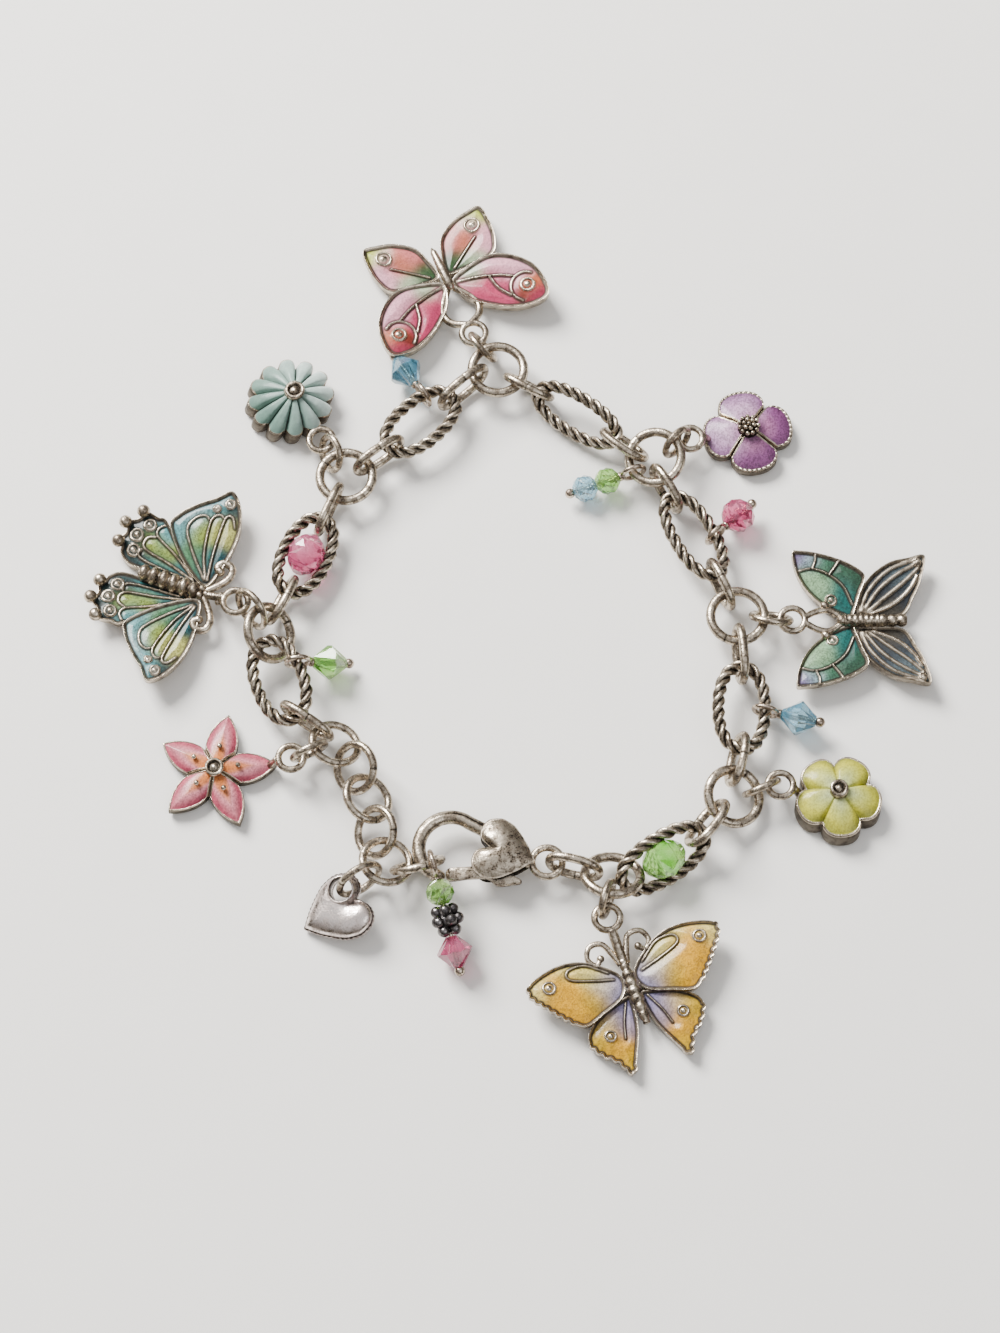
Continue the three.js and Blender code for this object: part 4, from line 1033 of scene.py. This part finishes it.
along = np.linspace(-6.9, 0.9, 90)
knobs = 0.6 + 0.25 * np.abs(np.sin(np.pi * (along + 6.9) / 1.2))
girth = np.where(along < -3.4, knobs, 0.85 + 0.05 * np.sin(along * 9))
dark = np.clip(1.1 - 1.2 * girth, 0, 1)[:, None]
metal = [turned(np.stack([along, girth * 0.95], -1), (0, 0, 1.7), recess=dark)]
metal += balls([(1.2, 0, 1.8, 0.72), (3.3, 2.0, 1.7, 0.6)])
metal += wire_pair([(1.2, 0.4, 1.6), (2.8, 1.4, 1.6), (4.3, 1.2, 1.7), (5.9, 0.4, 2.0)], 0.42, 40)
wings = [(hind_edge, (-4.8, 4.4), hind, 8, 0.0, 0.9), (fore_edge, (2.2, 5.0), fore, 6, 0.4, 0.9)]
butterfly("teal_butterfly", 0, (7.4, 2.0), wings, enamel("jade_enamel", 0.65), metal)

# %% [markdown]
# The flowers are domes cut by creases. Their outline is a radius over the angle, the same over each petal,
# and their height falls from the middle to the edge and into each crease. The petals' ends show silver
# round the enamel.


# %% Flowers
class Flower:
    """A flower head: petals, radius, height, and how its outline and its creases run over one petal."""

    def __init__(self, petals, radius, height, crease, notch, power, turn, edge=1.0):
        self.petals, self.radius, self.height, self.crease = petals, radius, height, crease
        self.notch, self.power, self.turn, self.edge = notch, power, turn, edge

    def phase(self, angle):
        """From -1 at one crease, over 0 at the middle of a petal, to 1 at the next crease."""
        share = (angle - np.radians(self.turn)) * self.petals / (2 * np.pi)
        return (share % 1) * 2 - 1

    def reach(self, angle):
        return self.radius * (1 - self.notch * np.abs(self.phase(angle)) ** self.power)


def flower_skin(flower, paint, rim=0.0, beads=0, puff=0.5, gap=1.0, seams=True):
    """The head's rows run up its side from the flat back and over the dome to the middle. At a share s of
    the radius and a phase p, the height is the edge plus the dome's 1 - s squared, less the crease, plus the
    swell of each petal. Silver lies along the edge, and with seams between the petals too."""
    angle = np.linspace(0, 2 * np.pi, 360, endpoint=False)[None, :]
    share = np.concatenate([[1.0, 0.992], np.linspace(0.98, 0.01, 60)])[:, None]
    phase = flower.phase(angle)
    out = share * flower.reach(angle)
    dome = flower.edge + (flower.height - flower.edge) * (1 - share**2)
    swell = puff * (1 - phase**4) * np.clip(share * 1.6, 0, 1) * np.clip((1.04 - share) / 0.3, 0, 1) ** 0.5
    to_edge = (1 - share) * flower.reach(angle) + 0 * angle
    to_side = (1 - np.abs(phase)) * out * np.pi / flower.petals
    narrow = np.clip(share * 1.5, 0.15, 1)
    cut_in = flower.crease * np.exp(-((to_side / (0.22 * narrow)) ** 2)) * np.clip(share * 2.2, 0, 1)
    height = dome + swell - cut_in
    x, y = out * np.cos(angle), out * np.sin(angle)
    near = np.minimum(to_edge, to_side) if seams else to_edge
    line = ridge(near - rim * 0.5, rim * 0.6 + 1e-6) if rim else np.zeros_like(near)
    knobs = np.abs(np.sin(np.pi * beads * (phase + 1) / 2)) if beads else 1.0
    height = height + 0.22 * line * knobs
    metal = (near < rim).astype(float) if rim else (to_edge < 0.12).astype(float)
    hollow = gap * np.clip(1 - to_side / (0.12 * narrow), 0, 1) * np.clip((share - 0.2) * 4, 0, 1)
    hollow[0] = np.maximum(hollow[0], 0.84)
    hollow = np.maximum(hollow, 0.7 * (1 - knobs) * line) if beads else hollow
    low = np.array([0.01, 0.55, 0.97, 1.0])[:, None]
    lift = np.array([0.0, 0.0, 0.0, 0.2])[:, None]
    flat = low * flower.reach(angle)
    back = np.stack([flat * np.cos(angle), flat * np.sin(angle), lift + 0 * angle], -1)
    top = np.stack([x, y, height + 0 * x], -1)
    colour = paint(x, y, share + 0 * angle, phase + 0 * share)
    return plated(back, top, 0.7, hollow, metal, colour)


def leaning(skin, lean):
    """The skin leaning over: each point moves sideways by a share of its height."""
    skin.points[..., :2] += skin.points[..., 2:] * lean
    return skin


def shades(value, stops):
    """A colour for each value, straight between the stops."""
    at = [stop for stop, _ in stops]
    tints = np.array([glass(tint) for _, tint in stops])
    return np.stack([np.interp(value, at, tints[:, i]) for i in range(3)], -1)


def button(radius, base, top):
    """A collared button: a rounded ring round a sunk floor with a small knob."""
    profile = [
        (base, radius), (top - 0.25, radius), (top - 0.05, radius * 0.92), (top, radius * 0.78),
        (top - 0.05, radius * 0.66), (top - 0.3, radius * 0.58), (top - 0.32, radius * 0.4),
        (top - 0.12, radius * 0.28), (top - 0.05, 0.04),
    ]
    dark = np.array([0.2, 0, 0, 0, 0.2, 0.9, 0.8, 0.2, 0.0])[:, None]
    return turned(profile, axis=(0, 0, 1), columns=40, recess=dark)


def lug(start, end, height):
    """The short bar from a flower's edge up to its loop."""
    middle = ((start + end) / 2, 0, (LUG["foot"] + height) / 2)
    line = smooth_line([(start, 0, LUG["foot"]), middle, (end, 0, height)], 20)
    return tube(line, LUG["wire"] / 2)


def flower_charm(name, lie, flower, loop_height, finish, slot, paint, middle, lean=(0, 0), **looks):
    """A head, what stands in its middle, and the loop on its lug. The head and its middle lean together."""
    at = flower.radius + 1.85
    place = charm_place(name, lie, at + LOOP_REACH)
    head = leaning(flower_skin(flower, paint, **looks), lean)
    piece(name + "_head", [head], finish, [name], place=place)
    metal = [leaning(skin, lean) for skin in middle]
    metal += [charm_loop(at, loop_height), lug(flower.radius * 0.88, at - 1.6, loop_height)]
    piece(name + "_fittings", metal, OXIDISED, place=place)
    print(name, "made")


# %% [markdown]
# The mint daisy has twelve narrow petals like slices of a dome, satin mint with a painted highlight on the
# side towards the light and painted shade on the far side, and a silver button in a collar.

# %% Mint daisy
MINT, MINT_PAINTED_LIGHT, MINT_PAINTED_SHADE = (174, 192, 185), (216, 226, 222), (148, 171, 162)
DAISY_LEAN = 0.26 * np.array([0.616, 0.788])


def mint_paint_with_painted_light(x, y, share, phase):
    # Painted light: a highlight painted on the side of the flower towards the light, painted shade on the far
    # side, and each petal painted a little lighter on one half than on the other.
    side = np.clip(0.5 + 0.09 * (x * 0.3 + y), 0, 1)
    return shades(side + 0.12 * phase, [(0.1, MINT_PAINTED_SHADE), (0.5, MINT), (0.95, MINT_PAINTED_LIGHT)])


flower_charm(
    "mint_daisy", 128, Flower(12, 5.6, 4.2, 0.34, 0.22, 2.6, 15, edge=2.2), 2.0,
    enamel("mint_enamel", 0.1, 0.12), "mint_enamel", mint_paint_with_painted_light, [button(1.3, 2.6, 4.8)],
    lean=DAISY_LEAN, puff=0.2,
)

# %% [markdown]
# The star flower has five pointed petals with silver along their edges and between them. The pink turns to
# orange glitter towards the middle, where a small silver dot sits on each petal.

# %% Pink star flower
CORAL, BLUSH, PLUM = (222, 160, 104), (232, 178, 184), (206, 132, 148)


def star_paint(x, y, share, phase):
    stops = [(0.3, CORAL), (0.5, (226, 168, 132)), (0.68, BLUSH), (1.0, PLUM)]
    return shades(share * (1 + 0.5 * np.abs(phase)), stops)


STAR_DOTS = [ball((2.9 * np.cos(a), 2.9 * np.sin(a), 2.5), 0.34) for a in 2 * np.pi * np.arange(5) / 5]
flower_charm(
    "pink_star_flower", 187, Flower(5, 7.6, 2.2, 0.2, 0.58, 1.0, 36), 2.8,
    enamel("star_enamel", 0.5, 0.2), "star_enamel", star_paint, [button(1.2, 1.2, 3.0), *STAR_DOTS],
    rim=0.3, puff=0.1, gap=0.6,
)

# %% [markdown]
# The green flower has five broad petals in yellow-green enamel, clouded with grey near the button, over a
# thick silver edge.

# %% Green flower
LIME, CITRON, MIST = (214, 216, 142), (214, 212, 112), (206, 212, 172)
LIME_LEAN = 0.24 * np.array([0.225, -0.974])


def lime_paint(x, y, share, phase):
    stops = [(0.3, MIST), (0.6, LIME), (0.82, CITRON), (1.05, (176, 176, 104))]
    return shades(share + 0.18 * np.abs(phase), stops)


flower_charm(
    "green_flower", -13, Flower(5, 5.4, 3.2, 0.14, 0.24, 3, 0, edge=1.8), 2.8,
    enamel("lime_enamel", 0.4), "lime_enamel", lime_paint, [button(1.15, 2.2, 3.95)],
    lean=LIME_LEAN, rim=0.34, puff=0.2, gap=0.3, seams=False,
)

# %% [markdown]
# The purple flower has four heart-shaped petals with painted light and shade: the two towards the window
# pale, the two away from it deep. A row of tiny beads runs along every edge, and a bunch of stamens stands in
# the
# middle: small balls set in rings round the centre.

# %% Purple flower
ORCHID, WINE, PALE_LILAC = (170, 124, 164), (128, 88, 122), (216, 190, 212)


def purple_paint_with_painted_light(x, y, share, phase):
    # Painted light and shade across the flower: the pale tones on the half towards the window, the deep tones
    # on the half away from it.
    pale = np.clip(0.5 + 0.3 * (x * 0.75 - y * 0.65), 0, 1)[..., None]
    lit_petal_stops = [(0.1, (196, 160, 188)), (0.5, PALE_LILAC), (0.8, (200, 168, 198)), (1.0, (150, 112, 150))]
    shaded_petal_stops = [(0.1, WINE), (0.45, (194, 150, 182)), (0.7, ORCHID), (1.0, WINE)]
    light, deep = shades(share, lit_petal_stops), shades(share, shaded_petal_stops)
    return pale * light + (1 - pale) * deep


def stamens():
    skins = []
    for count, out, height in ((1, 0.0, 3.6), (6, 0.62, 3.5), (11, 1.2, 3.2)):
        turn = 2 * np.pi * np.arange(count) / count + out
        skins += [ball((out * np.cos(a), out * np.sin(a), height), 0.3, 9, 12) for a in turn]
    return skins


stamen_bed = turned([(1.5, 1.5), (3.0, 1.3), (3.3, 0.1)], axis=(0, 0, 1), recess=0.9)
flower_charm(
    "purple_flower", 12, Flower(4, 5.8, 2.4, 0.4, 0.3, 3.5, 45, edge=1.3), 2.5,
    enamel("purple_enamel", 0.6), "purple_enamel", purple_paint_with_painted_light, [stamen_bed, *stamens()],
    rim=0.34, beads=14, puff=-0.15,
)

# %% [markdown]
# The heart tag is a thick polished heart on a slightly wider back with a milled edge, and it leans on its
# own jump ring with one lobe up. A high collar stands round the hole in that lobe. Its face is left bare.

# %% Heart tag
TAG_REACH = 8.3127
TAG_LIFT = 0.5413
TAG_HOLE = np.array([6.278, 1.804])
TAG_LEAN = np.arcsin(1.8 / TAG_HOLE[0])
TAG_BORE = 1.45
TAG_LENGTH = 8.5
TAG_WIDTH = 8.1


def heart_outline(length, width, count):
    """A heart with its point at the origin and its lobes towards +x."""
    half = [
        (0, 0), (0.1, 0.115), (0.228, 0.247), (0.45, 0.424), (0.6, 0.485), (0.74, 0.5), (0.922, 0.42),
        (0.996, 0.263), (0.952, 0.1), (0.78, 0.0),
    ]
    upper = smooth_line([(x * length, y * width) for x, y in half], count // 2)
    return even(np.concatenate([upper, (upper * [1, -1])[-2:0:-1]]), count, closed=True)


def collar(bore, low, top, wide):
    """A ring with an open bore: its rows run up the bore, over the rounded top and down the outside."""
    profile = [
        (bore, low), (bore, top - 0.2), (bore + 0.12, top), (bore + wide - 0.15, top),
        (bore + wide, top - 0.25), (bore + wide + 0.3, low + 0.2), (bore + wide + 0.3, low),
    ]
    around = np.linspace(0, 2 * np.pi, 48, endpoint=False)[None, :]
    out, level = np.array(profile).T[:, :, None]
    points = np.stack([out * np.cos(around), out * np.sin(around), level + 0 * around], -1)
    # The bore's two rows are dark: painted shade deep in the hole, over the oxide that stays there.
    dark = np.array([0.9, 0.9, 0.1, 0.0, 0.3, 0.8, 0.8])[:, None]
    return Skin(points, closed=True, recess=dark)


def pierced_plate(edge, hole, levels, **marks):
    """A plate with a round hole: closed rows from the hole's rim over the front to the edge and back below.
    levels lists (share from hole to edge, height) for each row."""
    towards = unit(edge - hole)
    rim = hole + TAG_BORE * towards
    share, height = np.array(levels).T[:, :, None]
    flat = rim + share[..., None] * (edge - rim)
    points = np.concatenate([flat, (height + 0 * flat[..., 0])[..., None]], -1)
    return Skin(points, closed=True, **marks)


def heart_tag():
    """The domed front over its notched back, and the collar, leaning on the jump ring."""
    origin, axes = charm_place("heart_tag", 205, TAG_REACH)
    side = axes[:, 1]
    ahead = np.cos(TAG_LEAN) * axes[:, 0] + np.sin(TAG_LEAN) * UP
    place = origin + TAG_LIFT * UP, np.stack([ahead, side, np.cross(ahead, side)], 1)
    edge = heart_outline(TAG_LENGTH, TAG_WIDTH, 240)
    notches = 0.1 * np.abs(np.sin(np.arange(240) * np.pi / 5))[:, None]
    notched = edge * 1.01 + notches * unit(edge - edge.mean(0)) - [0.1, 0]
    levels = [(0, -0.3), *((share, 0.2) for share in np.linspace(0, 1, 40)), (1, -0.3)]
    inner = edge * 0.97 + [0.13, 0]
    front = pierced_plate(inner, TAG_HOLE, levels)
    inward = np.clip(distance_to(front.points[1:-1, :, :2], inner, closed=True) / 2.2, 0, 1)
    front.points[1:-1, :, 2] = np.sqrt(1 - (1 - inward) ** 2.2)
    low = [(0, -0.66), (0, -0.12), (0.97, -0.12), (1, -0.22), (1, -0.58), (0.97, -0.66)]
    back = pierced_plate(notched, TAG_HOLE, low, recess=np.array([0.6, 0.6, 0.9, 0.3, 0.2, 0.5])[:, None])
    neck = collar(1.42, 0.2, 1.25, 0.34)
    neck = Skin(neck.points + [*TAG_HOLE, 0], True, neck.recess)
    piece("heart_tag_plate", [front, back, neck], TAG_SILVER, ["heart_tag"], place=place)


heart_tag()

# %% [markdown]
# The clasp is a cast lobster claw whose body is a puffed heart. A thick hook grows from its lobes and bends
# back round the ring that it holds. The heart is slit from the side for the lever, so it is built as an
# upper and a lower shell round a core that stops at the slit.

# %% Clasp body
CLASP_TURN = np.radians(1.524)
PIVOT = np.array([-5.9, -0.9, 0.0])
SLIT = {"half": 0.7, "right": -3.3, "top": 0.8}
HOOK = {"centre": (-11.6, 2.15), "radius": 3.9, "wire": 1.7, "from": 50, "to": 246}
HEART = {"length": 7.4, "width": 7.8, "half_thick": 1.75, "turn": 161, "tip": -1.5}


def clasp_place(at_pivot):
    """The clasp's frame in the part, about its tail eye or about the lever's pivot."""
    joint = next(joint for joint in frame["joints"] if joint["name"] == "clasp_lever_hinge")
    across = np.array([np.cos(CLASP_TURN), np.sin(CLASP_TURN), 0.0])
    axes = np.stack([across, np.cross(UP, across), UP], 1)
    pivot = np.array(joint["pos_m"]) / MM
    return (pivot if at_pivot else pivot - axes @ PIVOT), axes


def clasp_heart():
    """The puffed heart: an upper and a lower shell, and between them the core that stops at the slit."""
    turn = np.radians(HEART["turn"])
    spin = np.array([[np.cos(turn), np.sin(turn)], [-np.sin(turn), np.cos(turn)]])
    edge = heart_outline(HEART["length"], HEART["width"], 200) @ spin + [HEART["tip"], 0]
    middle = np.array([4.2, 0.0]) @ spin + [HEART["tip"], 0]
    skins = []
    for side in (1, -1):
        dome = np.sin(np.linspace(np.pi / 2, 0.01, 26))
        share = np.concatenate([[0.01, 0.5, 0.97, 1.0], dome])[:, None, None]
        flat = middle + share * (edge - middle)
        cleft = (flat - [HEART["tip"], 0]) @ spin.T
        furrow = 0.5 * np.exp(-((cleft[..., 1] / 0.55) ** 2)) * np.clip((cleft[..., 0] - 4.4) / 1.6, 0, 1)
        swell = (HEART["half_thick"] - SLIT["half"]) * (1 - share[..., 0] ** 2.6)
        height = np.maximum(SLIT["half"] + swell - furrow, SLIT["half"] + 0.12)
        height[:3] = SLIT["half"]
        worn = 0.55 * np.clip(1.1 - np.abs(cleft[..., 0] - 2.8) / 3.2, 0, 1)
        worn = worn * np.clip(1.2 - share[..., 0], 0, 1)
        worn[:4] = 0.9
        worn = np.maximum(worn, furrow * 1.1)
        points = np.concatenate([flat, (side * height)[..., None]], -1)
        skins.append(Skin(points, recess=worn))
    ray = edge - middle
    drop = (SLIT["top"] - middle[1]) / np.minimum(ray[:, 1], -1e-6)
    at_slit = middle[0] + np.clip(drop, 0, 1) * ray[:, 0] < SLIT["right"]
    share = np.where((drop > 0) & (drop < 0.94) & at_slit, drop, 0.94)
    core = middle + share[:, None] * ray
    low, high = (np.concatenate([core, np.full((200, 1), level)], -1) for level in (-0.8, 0.8))
    skins.append(Skin(np.stack([low, high]), recess=0.95))
    return skins


def clasp_body():
    """The heart, the hook with its groove and round tip, the tail eye on its neck, the knob and the pin."""
    place = clasp_place(at_pivot=False)
    angle = np.radians(np.linspace(HOOK["from"], HOOK["to"], 12))
    arc = np.stack([np.cos(angle), np.sin(angle)], -1) * HOOK["radius"] + HOOK["centre"]
    line = smooth_line([(-6.2, 2.9), (-7.4, 4.15), *arc], 96)
    line = np.concatenate([line, np.zeros((96, 1))], -1)
    turn = np.linspace(0, 2 * np.pi, 32, endpoint=False)[None, :]
    fade = np.clip((0.62 - np.linspace(0, 1, 96)) / 0.3, 0, 1)[:, None]
    groove = np.exp(-(((turn - 2.05) / 0.2) ** 2)) * fade
    girth = HOOK["wire"] / 2 * np.where(np.linspace(0, 1, 96) > 0.97, 0.92, 1.0)[:, None]
    hook = tube(line, girth * (1 - 0.22 * groove), sides=32, recess=np.clip(groove * 1.3, 0, 1))
    tip = ball(line[-1], HOOK["wire"] / 2 * 0.96)
    eye = tube(oval_line(1.85, 1.85, 2.0, 60), 0.45, closed=True)
    neck = tube(np.linspace([-2.6, 0, 0], [-1.6, 0, 0], 6), 0.62)
    knob_profile = [(-0.6, 0.75), (0.1, 0.75), (0.3, 0.5), (0.35, 0.05)]
    knob = turned(knob_profile, (-6.5, 4.9, 0), (-0.5, 1, 0), recess=0.4)
    pin = turned([(-0.9, 0.45), (0.9, 0.45)], PIVOT, (0, 0, 1))
    skins = [*clasp_heart(), hook, tip, eye, neck, knob, pin]
    piece("clasp_hook_and_heart", skins, OXIDISED, ["clasp_body"], place=place)


clasp_body()

# %% [markdown]
# The lever is a flat sprung strip that turns on a pin in the slit. Its long arm reaches to the hook's tip
# and its short tab stands out of the heart's lower side for the thumb. It rides on a body of its own.

# %% Clasp lever
LEVER_TILT = np.radians(4.03)
LEVER_BORE = 0.76
LEVER_OUTLINE = [
    (1.2, -0.7), (0.95, 0.35), (0.1, 1.05), (-1.0, 0.8), (-3.6, 0.75), (-6.1, 0.7), (-6.15, -0.7),
    (-3.8, -0.75), (-1.5, -0.95), (-0.3, -1.95), (1.6, -2.0), (2.5, -1.9), (2.5, -1.45),
]


def clasp_lever():
    """A flat strip with a round bore: closed rows from the bore over the front to the edge and back below."""
    origin, axes = clasp_place(at_pivot=True)
    cosine, sine = np.cos(LEVER_TILT), np.sin(LEVER_TILT)
    spin = np.array([[cosine, -sine, 0], [sine, cosine, 0], [0, 0, 1]])
    edge = smooth_line(LEVER_OUTLINE, 160, closed=True)
    towards = unit(edge)
    shares = np.array([0, 0, 0.3, 0.9, 1, 1, 0.9, 0.3])[:, None, None]
    height = np.array([-0.38, 0.38, 0.4, 0.4, 0.3, -0.3, -0.4, -0.4])[:, None, None]
    rim = LEVER_BORE * towards
    flat = rim + shares * (edge - rim)
    points = np.concatenate([flat, height + 0 * flat[..., :1]], -1)
    strip = Skin(points, closed=True, recess=np.array([0.9, 0.9, 0.4, 0.1, 0.1, 0.3, 0.4, 0.5])[:, None])
    place = origin, axes @ spin
    piece(
        "clasp_lever_strip", [strip], OXIDISED, ["clasp_lever"],
        body="clasp_lever", place=place,
    )


clasp_lever()
print("clasp and tag made")

# %% [markdown]
# The room: a pale satin floor, one large soft window on the upper left, and a sky that is bright overhead
# and darker and warmer towards the horizon. Polished wire shows that change as a light top and dark flanks.

# %% Floor and light
def add_floor():
    finish = Finish("pale_floor")
    weave = finish.noise(9, 4)
    finish.surface(
        Base_Color=finish.mix(weave * 0.5, srgb(242, 240, 236), srgb(234, 231, 226)),
        Roughness=0.75,
        Specular_IOR_Level=0.2,
    )
    mesh = bpy.data.meshes.new("floor")
    half = 3.0
    corners = [(-half, -half, 0), (half, -half, 0), (half, half, 0), (-half, half, 0)]
    mesh.from_pydata(corners, [], [(0, 1, 2, 3)])
    mesh.materials.append(finish.material)
    floor = bpy.data.objects.new("floor", mesh)
    bpy.context.scene.collection.objects.link(floor)
    floor.location = (0, 0, -0.00002)


def add_light(name, place, size, power, tint):
    data = bpy.data.lights.new(name, "AREA")
    data.size = size
    data.energy = power
    data.color = tint
    light = bpy.data.objects.new(name, data)
    light.location = place
    toward = -np.asarray(place, float)
    light.rotation_euler = (
        np.arctan2(np.hypot(toward[0], toward[1]), -toward[2]),
        0,
        np.arctan2(toward[1], toward[0]) - np.pi / 2,
    )
    bpy.context.scene.collection.objects.link(light)


add_floor()
add_light("window", (-0.42, 0.5, 0.55), 0.4, 25.0, (1.0, 0.985, 0.96))
add_light("fill", (0.5, -0.4, 0.8), 0.6, 2.0, (0.95, 0.97, 1.0))


def add_sky():
    """A sky whose brightness grows with the height of the direction."""
    world = bpy.data.worlds.new("room")
    world.use_nodes = True
    tree = world.node_tree
    place = tree.nodes.new("ShaderNodeTexCoord")
    split = tree.nodes.new("ShaderNodeSeparateXYZ")
    ramp = tree.nodes.new("ShaderNodeValToRGB")
    stops = ramp.color_ramp.elements
    stops[0].position = 0.0
    stops[0].color = (*srgb(76, 68, 58), 1)
    stops[1].position = 0.85
    stops[1].color = (*srgb(250, 250, 252), 1)
    middle = stops.new(0.45)
    middle.color = (*srgb(94, 88, 78), 1)
    tree.links.new(place.outputs["Generated"], split.inputs[0])
    tree.links.new(split.outputs["Z"], ramp.inputs[0])
    tree.links.new(ramp.outputs["Color"], tree.nodes["Background"].inputs["Color"])
    tree.nodes["Background"].inputs["Strength"].default_value = 0.95
    bpy.context.scene.world = world


add_sky()
